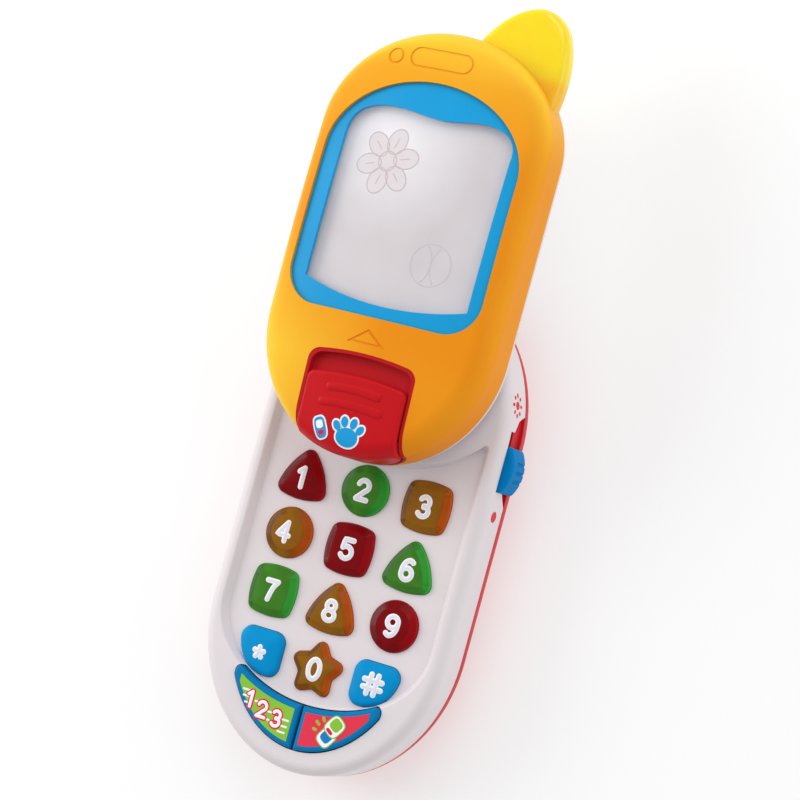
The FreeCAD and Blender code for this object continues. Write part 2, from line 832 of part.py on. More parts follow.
def make_base_rear_shell():
    parting = dim("parting_height")
    floor = dim("rear_floor")
    wall = dim("wall")
    back_round = dim("back_round")
    ceiling = dim("box_ceiling")
    box_wall = dim("box_wall")
    tall = prism(base_outline(0), ceiling + box_wall)
    tall = tall.makeFillet(back_round, edges_at(tall, 0))
    hollow = prism(base_outline(floor, -wall), 20)
    hollow = hollow.makeFillet(back_round - wall, edges_at(hollow, floor))
    above_parting = box_between((-50, -80, parting), (50, 80, 30))
    shell = tall.cut(above_parting).cut(hollow)
    # battery box
    half, low, high = dim("box_half_length"), dim("box_low"), dim("box_high")
    outer = box_between((-half - box_wall, low - box_wall, 0), (half + box_wall, high + box_wall, 20))
    shell = shell.fuse(tall.common(outer))
    cavity = box_between((-half, low, floor), (half, high, ceiling))
    soft = [edge for edge in cavity.Edges if edge.BoundBox.ZMin < floor + 0.1]
    shell = shell.cut(cavity.makeFillet(dim("box_soft_edge"), soft))
    # screw columns
    for x, y in base_screw_places():
        column = upright(x, y, 0, parting, 3.3)
        shell = shell.fuse(tall.common(column))
    door_screw = upright(0, dim("door_screw_row"), 0, 9.0, 2.6)
    shell = shell.fuse(door_screw)
    for x, y in base_screw_places():
        shell = shell.cut(upright(x, y, -1, dim("base_screw_seat") + dim("screw_head_height"), 2.7))
        shell = shell.cut(upright(x, y, -1, 20, dim("screw_shank_radius") + 0.2))
    # locating ring for the speaker, then its sound holes
    centre = dim("speaker_centre")
    ring = upright(0, centre, floor - 0.5, 4.6, dim("speaker_radius") + 1.4)
    ring = ring.cut(upright(0, centre, floor - 1, 9, dim("speaker_radius") + 0.1))
    shell = shell.fuse(ring)
    for hole in speaker_holes():
        shell = shell.cut(hole)
    # opening for the battery door
    gap = dim("part_gap")
    door = door_outline(-1, gap)
    shell = shell.cut(prism(door, 1 + dim("door_thickness")))
    cell_way = box_between((-dim("door_half_width") + 0.6, low + 0.6, -1),
                           (dim("door_half_width") - 0.6, high - 0.6, floor + 1))
    shell = shell.cut(cell_way)
    shell = shell.cut(upright(0, dim("door_screw_row"), 0, 8.0, dim("screw_shank_radius")))
    # raised wall behind the switch opening
    tab = prism(base_outline(parting - 1.5, -0.7), 20).cut(prism(base_outline(parting - 2, -2.2), 20))
    tab = tab.common(notch(-0.15).fuse(box_between((26, 12.2, parting - 1.5), (36, 35.8, parting + 0.1))))
    tab = tab.common(box_between((0, 0, 0), (50, 50, dim("tab_top"))))
    shell = shell.fuse(tab)
    arm_low = dim("arm_low") - 0.3
    arm_high = dim("arm_low") + dim("arm_width") + dim("switch_travel") + 0.3
    slot = box_between((27, arm_low, dim("arm_bottom") - 0.3),
                       (36, arm_high, dim("arm_bottom") + dim("arm_height") + 0.3))
    shell = shell.cut(slot)
    shaped("base_rear_shell", shell.removeSplitter())


def door_outline(level, grow):
    """The battery door with a tongue for its screw."""
    half, low, high = dim("door_half_width"), dim("door_low"), dim("door_high")
    tongue, end = dim("door_tongue_half"), dim("door_tongue_end")
    points = [(-half, low), (half, low), (half, high), (tongue, high), (tongue, end), (-tongue, end),
              (-tongue, high), (-half, high)]
    wire = rounded(points, 0.8)
    wire = wire.makeOffset2D(grow) if grow else wire
    wire.translate(Vector(0, 0, level))
    return wire


def make_battery_door():
    body = new_body("battery_door")
    sketch = new_sketch(body, "battery_door_outline")
    draw_wire(sketch, door_outline(0, 0))
    add_pad(body, sketch, "battery_door_plate", "$door_thickness")
    doc.recompute()
    seat = new_sketch(body, "battery_door_screw_seat")
    draw_circle(seat, "0", "$door_screw_row", "$screw_head_radius + 0.3")
    add_through_pocket(body, seat, "battery_door_counterbore", "$door_thickness * 0.55")
    hole = new_sketch(body, "battery_door_screw_hole")
    draw_circle(hole, "0", "$door_screw_row", "$screw_shank_radius + 0.2")
    add_through_pocket(body, hole, "battery_door_hole", "$door_thickness + 1")


# --------------------------------------------------------------------- screws

def screw(name, x, y, seat, end, head="$screw_head_height"):
    """A screw driven upwards, from the bottom of its head to the end of its shank."""
    head_rod = rod(name + "_head", str(x), str(y), seat, "$screw_head_radius", head)
    shank = rod(name + "_shank", str(x), str(y), seat, "$screw_shank_radius", f"{end} - ({seat})")
    return fused(name, [head_rod, shank])


def make_screws():
    base = [screw(f"base_screw_{n}", x, y, "$base_screw_seat", "$base_screw_end")
            for n, (x, y) in enumerate(base_screw_places())]
    grouped("base_shell_screws", base)
    door = screw("door_screw_piece", 0, dim("door_screw_row"), "0.1", "7.6", head="0.6")
    keep(door, "battery_door_screw")
    plate_top = "$post_top + $guide_plate_thickness"
    guide = []
    for n, (x, y) in enumerate(guide_screw_places()):
        head = rod(f"guide_screw_{n}_head", str(x), str(y), plate_top, "$screw_head_radius", "1.2")
        shank = rod(f"guide_screw_{n}_shank", str(x), str(y), "$deck_underside + 0.6",
                    "$screw_shank_radius", f"{plate_top} - $deck_underside - 0.6 + 0.2")
        guide.append(fused(f"guide_screw_{n}", [head, shank]))
    grouped("guide_screws", guide)
    slider = [screw(f"slider_screw_{n}", x, y, "$slider_underside + 0.5", "$slider_screw_end")
              for n, (x, y) in enumerate(slider_screw_places())]
    grouped("slider_screws", slider)


# --------------------------------------------------------- inside of the base

def board_outline(level, margin=0.0):
    """The oval lower part of the base board, cut straight below the battery box."""
    half = dim("board_half_width") - margin
    end = dim("board_end") - margin
    centre = dim("base_low_centre")
    low = ellipse_arc(centre, half, dim("board_low_reach") - margin, -half, half, True, level)
    corners = [Vector(half, centre, level), Vector(half, end, level), Vector(-half, end, level),
               Vector(-half, centre, level)]
    return Part.Wire(Part.__sortEdges__([low] + [line(a, b) for a, b in zip(corners, corners[1:])]))


def make_boards():
    bottom = dim("board_bottom")
    thickness = dim("board_thickness")
    shaped("main_circuit_board", prism(board_outline(bottom), thickness))
    sheet_low = bottom + thickness
    membrane = prism(board_outline(sheet_low, dim("membrane_margin")), dim("membrane_thickness"))
    dome_low = sheet_low + dim("membrane_thickness")
    places = [(x, y) for _, _, x, y in key_places()] + mirrored_pair(11.0, -51.0)
    for x, y in places:
        dome = Part.makeCone(dim("membrane_dome_radius"), 1.6, dim("membrane_dome_rise"),
                             Vector(x, y, dome_low))
        membrane = membrane.fuse(dome)
    shaped("keypad_membrane", membrane.removeSplitter())
    keep(block("sound_chip", "$sound_chip_x", "$sound_chip_y", "$board_bottom - $sound_chip_height",
               "$sound_chip_size", "$sound_chip_size", "$sound_chip_height"), "sound_chip")


def make_speaker():
    seat = "$speaker_seat"
    place = "$speaker_centre"
    rim = "$speaker_radius"
    turned("speaker_cone", [
        ("0", f"{seat} + 1.6"), ("4", f"{seat} + 1.9"), (f"{rim} - 2.2", f"{seat} + 0.8"),
        (f"{rim} - 0.9", f"{seat} + 0.8"), (f"{rim} - 0.9", f"{seat} + 1.1"),
        (f"{rim} - 2.0", f"{seat} + 1.1"), ("4", f"{seat} + 2.3"), ("0", f"{seat} + 2.0")], y=place)
    turned("speaker_frame", [
        (f"{rim} - 0.8", seat), (rim, seat), (rim, f"{seat} + 1.6"), ("9", f"{seat} + 3.8"),
        ("5", f"{seat} + 3.8"), ("5", f"{seat} + 3.2"), ("8.6", f"{seat} + 3.2"),
        (f"{rim} - 0.8", f"{seat} + 1.2")], y=place)
    turned("speaker_magnet", [
        ("0", f"{seat} + 3.8"), ("7.5", f"{seat} + 3.8"), ("7.5", f"{seat} + 7.2"),
        ("7.1", f"{seat} + 7.6"), ("0", f"{seat} + 7.6")], y=place)


def make_cells():
    """Two cells across the base, facing opposite ways, with springs and contact plates."""
    face = dim("contact_face")
    for n, (row, side) in enumerate((("$cell_first_row", 1), ("$cell_second_row", -1)), start=1):
        can = rod(f"cell_{n}_can", f"{side} * ($contact_face - $cell_length)", row, "$cell_centre_height",
                  "$cell_radius", "$cell_length - $cell_nub_length")
        nub = rod(f"cell_{n}_nub", f"{side} * ($contact_face - $cell_nub_length - 0.5)", row,
                  "$cell_centre_height", "$cell_nub_radius", "$cell_nub_length + 0.5")
        for piece in (can, nub):
            piece.Placement.Rotation = FreeCAD.Rotation(Vector(0, 1, 0), 90 * side)
        keep(fused(f"cell_{n}", [can, nub]), f"battery_cell_{n}")
    springs = []
    for row, side in ((dim("cell_first_row"), -1), (dim("cell_second_row"), 1)):
        length = 2 * face - dim("cell_length")
        wire = dim("cell_spring_wire")
        coil = spring_solid(dim("cell_spring_radius"), wire, length - 2 * wire, 4)
        coil.rotate(Vector(0, 0, 0), Vector(0, 1, 0), -90 * side)
        coil.translate(Vector(side * (face - wire), row, dim("cell_centre_height")))
        springs.append(coil)
    shaped("battery_springs", Part.makeCompound(springs))
    low = "$cell_centre_height - $contact_rise / 2"
    plates = [
        block("contact_plus", "$contact_face", "$cell_first_row - $contact_width / 2", low,
              "$contact_thickness", "$contact_width", "$contact_rise"),
        block("contact_minus", "$contact_face", "$cell_second_row - $contact_width / 2", low,
              "$contact_thickness", "$contact_width", "$contact_rise"),
        block("contact_bridge", "-$contact_face - $contact_thickness",
              "$cell_first_row - $contact_width / 2", low, "$contact_thickness",
              "$cell_second_row - $cell_first_row + $contact_width", "$contact_rise"),
    ]
    grouped("battery_contact_plates", plates)


def spring_solid(radius, wire, length, turns):
    """An open coil spring along +Z, made of half turns that tilt to and fro."""
    rise = length / (2 * turns)
    tilt = math.atan2(rise / 2, radius)
    coil = None
    for n in range(2 * turns):
        side = 1 - 2 * (n % 2)
        centre = Vector(side * radius, 0, n * rise)
        section = Part.Face(Part.Wire(Part.makeCircle(wire, centre, Vector(0, 1, 0))))
        axis = Vector(side * math.sin(tilt), 0, math.cos(tilt))
        half_turn = section.revolve(Vector(0, 0, (n + 0.5) * rise), axis, 180)
        coil = half_turn if coil is None else coil.fuse(half_turn)
    return coil.removeSplitter()


def make_side_switch():
    """A pillow-shaped knob outside, whose arm works a slide switch on its own small board."""
    inner = dim("base_half_width") - 0.45
    outer = dim("base_half_width") + dim("knob_proud")
    low, high = dim("knob_low"), dim("knob_high")
    bottom = dim("knob_bottom")
    middle = (low + high) / 2
    root = dim("base_half_width") + dim("knob_root")
    top = bottom + dim("knob_height")
    near_in, near_out = Vector(inner, low, bottom), Vector(root, low, bottom)
    far_out, far_in = Vector(root, high, bottom), Vector(inner, high, bottom)
    crown = Part.Arc(near_out, Vector(outer, middle, bottom), far_out).toShape()
    edges = [line(near_in, near_out), crown, line(far_out, far_in), line(far_in, near_in)]
    knob = prism(Part.Wire(edges), top - bottom)
    corners = [edge for edge in knob.Edges if edge.BoundBox.ZLength > 1 and edge.BoundBox.XMin > inner + 0.1]
    knob = knob.makeFillet(dim("knob_corner"), corners)
    around = [edge for edge in knob.Edges if edge.BoundBox.ZLength < 0.1 and edge.BoundBox.XMax > inner + 0.1]
    knob = knob.makeFillet(dim("knob_soft_edge"), around)
    # the lower part stands clear of the rear shell
    clear = dim("base_half_width") + 0.25
    knob = knob.cut(box_between((inner - 1, low - 1, bottom - 1),
                                (clear, high + 1, dim("parting_height") + dim("key_gap"))))
    # three grip notches in the crown of the knob
    for n in (-1, 0, 1):
        groove_foot = Vector(outer - 0.22 * abs(n), middle + 2.2 * n, bottom - 14)
        knob = knob.cut(Part.makeCylinder(0.45, 20, groove_foot))
    arm_low = dim("arm_low")
    arm = box_between((dim("arm_inner_end"), arm_low, dim("arm_bottom")),
                      (inner + 0.3, arm_low + dim("arm_width"), dim("arm_bottom") + dim("arm_height")))
    # the shutter closes the opening from inside
    face = dim("shutter_face")
    shutter = box_between((face - dim("shutter_thickness"), dim("shutter_low"), dim("shutter_bottom")),
                          (face, dim("shutter_high"), bottom + dim("knob_height")))
    shaped("side_switch_knob", knob.fuse(arm).fuse(shutter).removeSplitter())

    keep(block("switch_board", "$switch_board_x", "$switch_board_y", "$box_ceiling + $box_wall",
               "$switch_board_width", "$switch_board_length", "$switch_board_thickness"), "switch_board")
    case = block("switch_case", "$switch_case_x", "$switch_case_y",
                 "$box_ceiling + $box_wall + $switch_board_thickness",
                 "$switch_case_width", "$switch_case_length", "$switch_case_height")
    slot = block("switch_case_slot", "$switch_slot_x", "$switch_slot_y", "$switch_slot_bottom",
                 "$switch_slot_width", "$switch_slot_length", "$switch_slot_height")
    switch = doc.addObject("Part::Cut", "slide_switch")
    switch.Base = case
    switch.Tool = slot
    keep(switch, "slide_switch")
    keep(block("switch_lever", "$lever_x", "$arm_low + $lever_inset", "$lever_bottom",
               "$arm_inner_end - $lever_x", "$lever_length", "$lever_height"), "switch_lever")


def make_guide():
    """The plate that holds the slider down on the guide post."""
    body = new_body("guide_plate")
    sketch = new_sketch(body, "guide_plate_outline", "$post_top")
    half = dim("guide_plate_half_width")
    low = dim("post_low") - dim("guide_plate_overlap")
    high = dim("post_high") + dim("guide_plate_overlap")
    draw_wire(sketch, rounded([(-half, low), (half, low), (half, high), (-half, high)], 1.5))
    add_pad(body, sketch, "guide_plate_pad", "$guide_plate_thickness")
    doc.recompute()
    hole = new_sketch(body, "guide_plate_holes", "$post_top - 1")
    for _, y in guide_screw_places():
        draw_circle(hole, "0", str(y), "$screw_shank_radius")
    add_through_pocket(body, hole, "guide_plate_screw_holes", "$guide_plate_thickness + 2")
    way = new_sketch(body, "guide_plate_window", "$post_top - 1")
    middle = (low + high) / 2
    wide, near, far = 2.8, middle - 2.0, middle + 2.0
    draw_wire(way, rounded([(-wide, near), (wide, near), (wide, far), (-wide, far)], 0.4))
    add_through_pocket(body, way, "guide_plate_ribbon_way", "$guide_plate_thickness + 2")

    # ribbon cable: base board, through the post, to the slider board
    half_ribbon = 2.0
    thin = 0.3
    along = [(12.7, 14.0, 13.0, 16.3), (12.7, 16.0, 46.2, 16.3), (45.9, 16.0, 46.2, 28.7),
             (45.9, 28.4, 70.0, 28.7), (70.0 - thin, 28.4, 70.0, dim("slider_board_bottom"))]
    ribbon = None
    for y0, z0, y1, z1 in along:
        run = box_between((-half_ribbon, y0, z0), (half_ribbon, y1, z1))
        ribbon = run if ribbon is None else ribbon.fuse(run)
    shaped("link_ribbon", ribbon.removeSplitter())


# -------------------------------------------------------------------- slider

def slider_screw_places():
    return [(22.0, 38.0), (-22.0, 38.0), (-14.0, 110.0)]


def crown_solid(rise):
    """A solid whose top is the slider's gently domed face, raised by rise."""
    middle = (dim("slider_low_centre") - dim("slider_low_reach")
              + dim("slider_high_centre") + dim("slider_high_reach")) / 2
    top = dim("slider_crown") + rise
    across = dim("crown_radius_across")
    along = dim("crown_radius_along")
    half = 45.0
    fall = across - math.sqrt(across ** 2 - half ** 2)
    deep = top - 60.0
    left, right = Vector(-half, middle, top - fall), Vector(half, middle, top - fall)
    arc = Part.Arc(left, Vector(0, middle, top), right).toShape()
    corners = [right, Vector(half, middle, deep), Vector(-half, middle, deep), left]
    face = Part.Face(Part.Wire([arc] + [line(a, b) for a, b in zip(corners, corners[1:])]))
    pivot = Vector(0, middle, top - along)
    face.rotate(pivot, Vector(1, 0, 0), -10)
    return face.revolve(pivot, Vector(1, 0, 0), 20)


def slider_dome(rise, level=None, edge_round=None, grow=None):
    """The slider's outer form above the parting, raised by rise and as a rule grown outwards by as much."""
    level = dim("slider_parting") if level is None else level
    edge_round = dim("slider_edge_round") if edge_round is None else edge_round
    block_shape = prism(slider_outline(level, rise if grow is None else grow), 30)
    form = block_shape.common(crown_solid(rise))
    upper = [edge for edge in form.Edges if edge.BoundBox.ZMin > level + 2]
    return form.makeFillet(edge_round + rise, upper)


def screen_outline(level, grow=0.0):
    """Straight foot with round corners, straight sides, elliptical top."""
    half = dim("screen_half_width") + grow
    low = dim("screen_low") - grow
    corner = dim("screen_corner") + grow
    centre = dim("screen_high_centre")
    top = ellipse_arc(centre, half, dim("screen_high_reach") + grow, -half, half, False, level)
    foot = line(Vector(-half + corner, low, level), Vector(half - corner, low, level))
    edges = [top, foot]
    for side in (-1, 1):
        heart = Vector(side * (half - corner), low + corner, level)
        middle = heart + Vector(side * corner * math.sqrt(0.5), -corner * math.sqrt(0.5), 0)
        start = Vector(side * (half - corner), low, level)
        end = Vector(side * half, low + corner, level)
        edges.append(Part.Arc(start, middle, end).toShape())
        edges.append(line(end, Vector(side * half, centre, level)))
    return Part.Wire(Part.__sortEdges__(edges))


def window_outline(level):
    """The see-through window: a wavy top, nearly straight sides and a sagging foot."""
    top = Part.BSplineCurve()
    wave = ((-21.6, 91.5), (-19.6, 96.6), (-10, 99.3), (4, 98.1), (14, 99.2), (21.0, 97.0), (22.6, 91.5))
    top.interpolate([Vector(x, y, level) for x, y in wave])
    foot = Part.Arc(Vector(-21.6, 54.6, level), Vector(0.2, 51.0, level), Vector(22.4, 54.2, level))
    sides = [line(Vector(-21.6, 54.6, level), Vector(-21.6, 91.5, level)),
             line(Vector(22.4, 54.2, level), Vector(22.6, 91.5, level))]
    return Part.Wire(Part.__sortEdges__([top.toShape(), foot.toShape()] + sides))


def make_screen():
    """Blue border flush in the shell, clear window behind it and a milky panel last."""
    level = 34.0
    reach = 14.0
    front = -dim("screen_recess")
    back = front - dim("border_thickness")
    border = slider_dome(front).cut(slider_dome(back)).common(prism(screen_outline(level, -0.03), reach))
    border = border.cut(prism(window_outline(level), reach))
    shaped("screen_border", border.removeSplitter())
    layers = (("screen_window", back - 0.05, dim("lens_thickness")),
              ("screen_panel", back - dim("lens_thickness") - 0.15, dim("panel_thickness")))
    for name, near, thickness in layers:
        layer = slider_dome(near).cut(slider_dome(near - thickness))
        shaped(name, layer.common(prism(screen_outline(level, dim("screen_overlap")), reach)))


def tray_outline(level, grow=0.0):
    """The thumb recess: straight sides, an arched top with soft corners, open at the slider's end."""
    half = dim("tray_half_width") + grow
    high = dim("tray_high") + grow
    low = dim("tray_low")
    shoulder = high - 1.4
    arch = Part.Arc(Vector(-half, shoulder, 0), Vector(0, high, 0), Vector(half, shoulder, 0)).toShape()
    corners = [Vector(half, shoulder, 0), Vector(half, low, 0),
               Vector(-half, low, 0), Vector(-half, shoulder, 0)]
    wire = Part.Wire([arch] + [line(a, b) for a, b in zip(corners, corners[1:])])
    soft = dim("tray_corner")
    wire = wire.makeOffset2D(-soft).makeOffset2D(soft)
    wire.translate(Vector(0, 0, level))
    return wire


def tray_way(grow):
    """The end view of the thumb recess, upright sides with round lower corners, run along the slider."""
    half = dim("tray_half_width") + grow
    low = dim("tray_foot") - grow
    radius = dim("tray_foot_round") + grow
    high = 60.0
    slant = radius * (1 - math.sqrt(0.5))
    edges = [line(Vector(half, 0, high), Vector(-half, 0, high)),
             line(Vector(radius - half, 0, low), Vector(half - radius, 0, low))]
    for side in (-1, 1):
        edges.append(line(Vector(side * half, 0, low + radius), Vector(side * half, 0, high)))
        edges.append(Part.Arc(Vector(side * half, 0, low + radius),
                              Vector(side * (half - slant), 0, low + slant),
                              Vector(side * (half - radius), 0, low)).toShape())
    return Part.Face(Part.Wire(Part.__sortEdges__(edges))).extrude(Vector(0, 60, 0))


def make_thumb_tray():
    half = dim("tray_half_width")
    wall = dim("tray_wall")
    low, step = dim("tray_low"), dim("tray_step")
    floor, low_floor = dim("tray_floor"), dim("tray_low_floor")
    tray = slider_dome(-0.1, dim("tray_bottom")).common(prism(tray_outline(20), 40)).common(tray_way(0))
    upper = prism(tray_outline(floor, -wall), 20).fuse(
        box_between((-half + wall, low - 5, floor), (half - wall, 30, floor + 20)))
    lower = tray_way(-wall).common(box_between((-half, low - 5, low_floor), (half, step, floor + 20)))
    tray = tray.cut(upper).cut(lower)
    under = box_between((-half - 1, step + 1.3, 20), (half + 1, 60, floor - 1.5))
    tray = tray.cut(under)
    plunger_hole = Part.makeCylinder(dim("plunger_radius") + 0.3, 6, Vector(0, step - 2, dim("plunger_height")),
                                     Vector(0, 1, 0))
    shaped("thumb_tray", tray.cut(plunger_hole).removeSplitter())


def soft_pad(pad, foot):
    """Round the pad's rim, where its face meets its upright sides."""
    rim = []
    for edge in pad.Edges:
        middle = edge.valueAt(sum(edge.ParameterRange) / 2)
        box = edge.BoundBox
        upright_edge = box.ZLength > 2 and box.XLength < 0.01 and box.YLength < 0.01
        if middle.z > foot + 0.2 and not upright_edge:
            rim.append(edge)
    return pad.makeFillet(dim("thumb_soft_edge"), rim)


def make_thumb_slide():
    """The red thumb pad, which follows the slider's face and turns down over its end."""
    inset = dim("tray_wall") + dim("thumb_gap")
    side = dim("tray_half_width") - inset
    high = dim("thumb_high")
    floor = dim("tray_floor") + dim("thumb_gap")
    foot = dim("tray_low_floor") + dim("thumb_gap")
    step = dim("thumb_step")
    form = slider_dome(dim("thumb_proud"), foot, dim("thumb_end_round"), grow=0)
    arch = Part.Arc(Vector(-side, high - 1.2, 0), Vector(0, high, 0), Vector(side, high - 1.2, 0)).toShape()
    corners = [Vector(side, high - 1.2, 0), Vector(side, 0, 0), Vector(-side, 0, 0),
               Vector(-side, high - 1.2, 0)]
    plan = Part.Wire([arch] + [line(a, b) for a, b in zip(corners, corners[1:])])
    soft = dim("thumb_corner")
    plan = plan.makeOffset2D(-soft).makeOffset2D(soft)
    pad = form.common(prism(plan, 60)).common(tray_way(-inset))
    pad = soft_pad(pad, foot)
    pad = pad.cut(box_between((-40, step, 0), (40, 60, floor)))
    plunger = Part.makeCylinder(dim("plunger_radius"), dim("plunger_end") - step + 1,
                                Vector(0, step - 1, dim("plunger_height")), Vector(0, 1, 0))
    shaped("thumb_slide", pad.fuse(plunger).removeSplitter())

    wire = dim("thumb_spring_wire")
    length = dim("tray_step") - step
    coil = spring_solid(dim("thumb_spring_radius"), wire, length - 2 * wire, 3)
    coil.rotate(Vector(0, 0, 0), Vector(1, 0, 0), -90)
    coil.translate(Vector(0, step + wire, dim("plunger_height")))
    shaped("thumb_spring", coil)

    case = block("thumb_switch_case", "-$thumb_switch_width / 2", "$thumb_switch_y",
                 "$slider_board_bottom + $slider_board_thickness",
                 "$thumb_switch_width", "$thumb_switch_depth", "$thumb_switch_height")
    button = rod("thumb_switch_button", "0", "$thumb_switch_y + $thumb_button_root", "$plunger_height",
                 "$thumb_button_radius", "$thumb_button_length")
    button.Placement.Rotation = FreeCAD.Rotation(Vector(1, 0, 0), 90)
    keep(fused("thumb_switch_piece", [case, button]), "thumb_switch")


def antenna_solid():
    """A leaf-shaped light cap that leans out of the slider's upper right end."""
    low, high = dim("antenna_bottom"), dim("antenna_top")
    edge = Part.BSplineCurve()
    edge.interpolate([Vector(x, y, low) for x, y in
                      ((1.5, 118.0), (6.0, 125.0), (12.0, 129.9), (17.5, 131.3), (23.0, 128.9),
                       (26.4, 122.5), (27.4, 114.0), (26.2, 104.5))])
    root = [Vector(26.2, 104.5, low), Vector(13.5, 114.2, low), Vector(1.5, 118.0, low)]
    wire = Part.Wire([edge.toShape()] + [line(a, b) for a, b in zip(root, root[1:])])
    leaf = prism(wire, high - low)
    sharp = [e for e in leaf.Edges if len(e.Vertexes) == 2 and e.Curve.TypeId == "Part::GeomBSplineCurve"]
    return leaf.makeFillet(dim("antenna_round"), sharp)


def embossing():
    """Shallow outline marks on the slider's face: a slot, a dot and an arrow head."""
    level = 30.0
    deep = 20.0
    row, radius = dim("slot_mark_row"), dim("slot_mark_radius")
    slot_ends = ((dim("slot_mark_low"), -1), (dim("slot_mark_high"), 1))
    slot_low, slot_high = slot_ends[0][0], slot_ends[1][0]
    edges = [line(Vector(slot_low, row + s * radius, level), Vector(slot_high, row + s * radius, level))
             for s in (-1, 1)]
    for x, s in slot_ends:
        edges.append(Part.Arc(Vector(x, row - radius, level), Vector(x + s * radius, row, level),
                              Vector(x, row + radius, level)).toShape())
    slot = Part.Wire(Part.__sortEdges__(edges))
    dot_centre = Vector(dim("dot_mark_x"), dim("dot_mark_row"), level)
    dot = Part.Wire(Part.makeCircle(dim("dot_mark_radius"), dot_centre))
    corners = ((-5.4, 41.2), (4.8, 41.2), (-0.3, 45.0), (-5.4, 41.2))
    arrow = Part.makePolygon([Vector(x, y, level) for x, y in corners])
    band = dim("mark_band")
    marks = [prism(wire, deep).cut(prism(wire.makeOffset2D(-band), deep)) for wire in (slot, dot, arrow)]
    return [mark.cut(slider_dome(-dim("mark_depth"))) for mark in marks]


def make_slider_front_shell():
    parting = dim("slider_parting")
    skin = dim("slider_skin")
    shell = slider_dome(0).cut(slider_dome(-skin, parting - 1))
    inside = slider_dome(-skin / 2, parting - 1)
    for x, y in slider_screw_places():
        shell = shell.fuse(upright(x, y, parting, 45, 2.6).common(inside))
        shell = shell.cut(upright(x, y, parting - 1, dim("slider_screw_end"), dim("screw_shank_radius")))
    shell = shell.cut(prism(screen_outline(34), 14))
    shell = shell.cut(prism(tray_outline(20, 0.05), 40).common(tray_way(0.05)))
    shell = shell.cut(antenna_solid())
    for mark in embossing():
        shell = shell.cut(mark)
    shaped("slider_front_shell", shell.removeSplitter())


def make_slider_rear_shell():
    low, floor, parting = dim("slider_underside"), dim("slider_floor"), dim("slider_parting")
    wall = dim("wall")
    corner = dim("slider_lower_round")
    outer = prism(slider_outline(low), parting - low)
    outer = outer.makeFillet(corner, edges_at(outer, low))
    inner = prism(slider_outline(floor, -wall), parting - floor + 1)
    inner = inner.makeFillet(corner - wall, edges_at(inner, floor))
    shell = outer.cut(inner)
    gap = dim("guide_gap")
    half = dim("post_half_width") + gap
    slot = box_between((-half, dim("post_low") - gap, low - 1),
                       (half, dim("post_high") + dim("slider_travel") + gap, floor + 1))
    shell = shell.cut(slot.makeFillet(1.5, [e for e in slot.Edges if e.BoundBox.ZLength > 2]))
    for x, y in slider_screw_places():
        shell = shell.fuse(upright(x, y, low + 0.4, parting, 2.9).common(outer))
        shell = shell.cut(upright(x, y, low - 1, dim("slider_underside") + 0.5 + dim("screw_head_height"),
                                  dim("screw_head_radius") + 0.1))
        shell = shell.cut(upright(x, y, low - 1, parting + 1, dim("screw_shank_radius") + 0.1))
    shell = shell.cut(antenna_solid())
    shaped("slider_rear_shell", shell.removeSplitter())


def make_slider_electronics():
    low = "$slider_board_bottom"
    thick = "$slider_board_thickness"
    wide = block("slider_board_wide", "-$slider_board_width / 2", "$slider_board_y", low,
                 "$slider_board_width", "$slider_board_length", thick)
    narrow = block("slider_board_narrow", "-$slider_tongue_width / 2", "$slider_tongue_y", low,
                   "$slider_tongue_width", "$slider_tongue_length", thick)
    keep(fused("slider_board", [wide, narrow]), "slider_circuit_board")
    top = f"{low} + {thick}"
    lights = [block(f"screen_light_{n}", str(x), str(y), top, "$light_length", "$light_width", "$light_height")
              for n, (x, y) in enumerate(((-12, 82), (8, 62), (-4, 70)))]
    grouped("screen_lights", lights)
    bulb = rod("antenna_light_bulb", "$bulb_x", "$bulb_y", f"{top} + $bulb_rise",
               "$bulb_radius", "$bulb_length")
    bulb.Placement.Rotation = FreeCAD.Rotation(Vector(1, 0, 0), -90)
    keep(bulb, "antenna_light")


def write_parts():
    doc.recompute()
    for obj in doc.Objects:
        state = set(obj.State) & {"Invalid", "Error"}
        if state:
            raise RuntimeError(f"{obj.Label} is {state}")
    for obj in sub_parts:
        shape = obj.Shape
        if shape.isNull() or not shape.isValid() or shape.Volume <= 0:
            raise RuntimeError(f"{obj.Label} has no valid shape")
    os.makedirs("parts", exist_ok=True)
    for obj in sub_parts:
        obj.Shape.exportStep(f"parts/{obj.Label}.step")
    print(len(sub_parts), "sub-parts written")


make_base_front_shell()
make_base_rear_shell()
make_battery_door()
make_boards()
make_speaker()
make_cells()
make_side_switch()
make_keys()
make_crescents()
make_guide()
make_slider_front_shell()
make_slider_rear_shell()
make_screen()
make_thumb_tray()
make_thumb_slide()
shaped("antenna", antenna_solid())
make_slider_electronics()
make_screws()
write_parts()
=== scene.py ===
import json
import math

import bpy
from mathutils import Matrix, Vector
from mathutils.bvhtree import BVHTree
from mathutils.geometry import delaunay_2d_cdt


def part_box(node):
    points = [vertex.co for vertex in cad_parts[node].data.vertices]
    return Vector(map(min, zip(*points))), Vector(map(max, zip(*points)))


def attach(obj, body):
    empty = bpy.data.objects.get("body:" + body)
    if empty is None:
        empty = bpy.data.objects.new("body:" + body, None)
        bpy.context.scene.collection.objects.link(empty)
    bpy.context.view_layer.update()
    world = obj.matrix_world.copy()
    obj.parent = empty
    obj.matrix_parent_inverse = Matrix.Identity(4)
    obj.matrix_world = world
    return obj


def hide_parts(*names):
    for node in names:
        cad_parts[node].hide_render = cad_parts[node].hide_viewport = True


# Slide-open toy phone lying on its back, open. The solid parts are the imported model's own. This script gives
# them materials, replaces the key caps with finer ones, and adds numerals, labels, grips and printed marks.

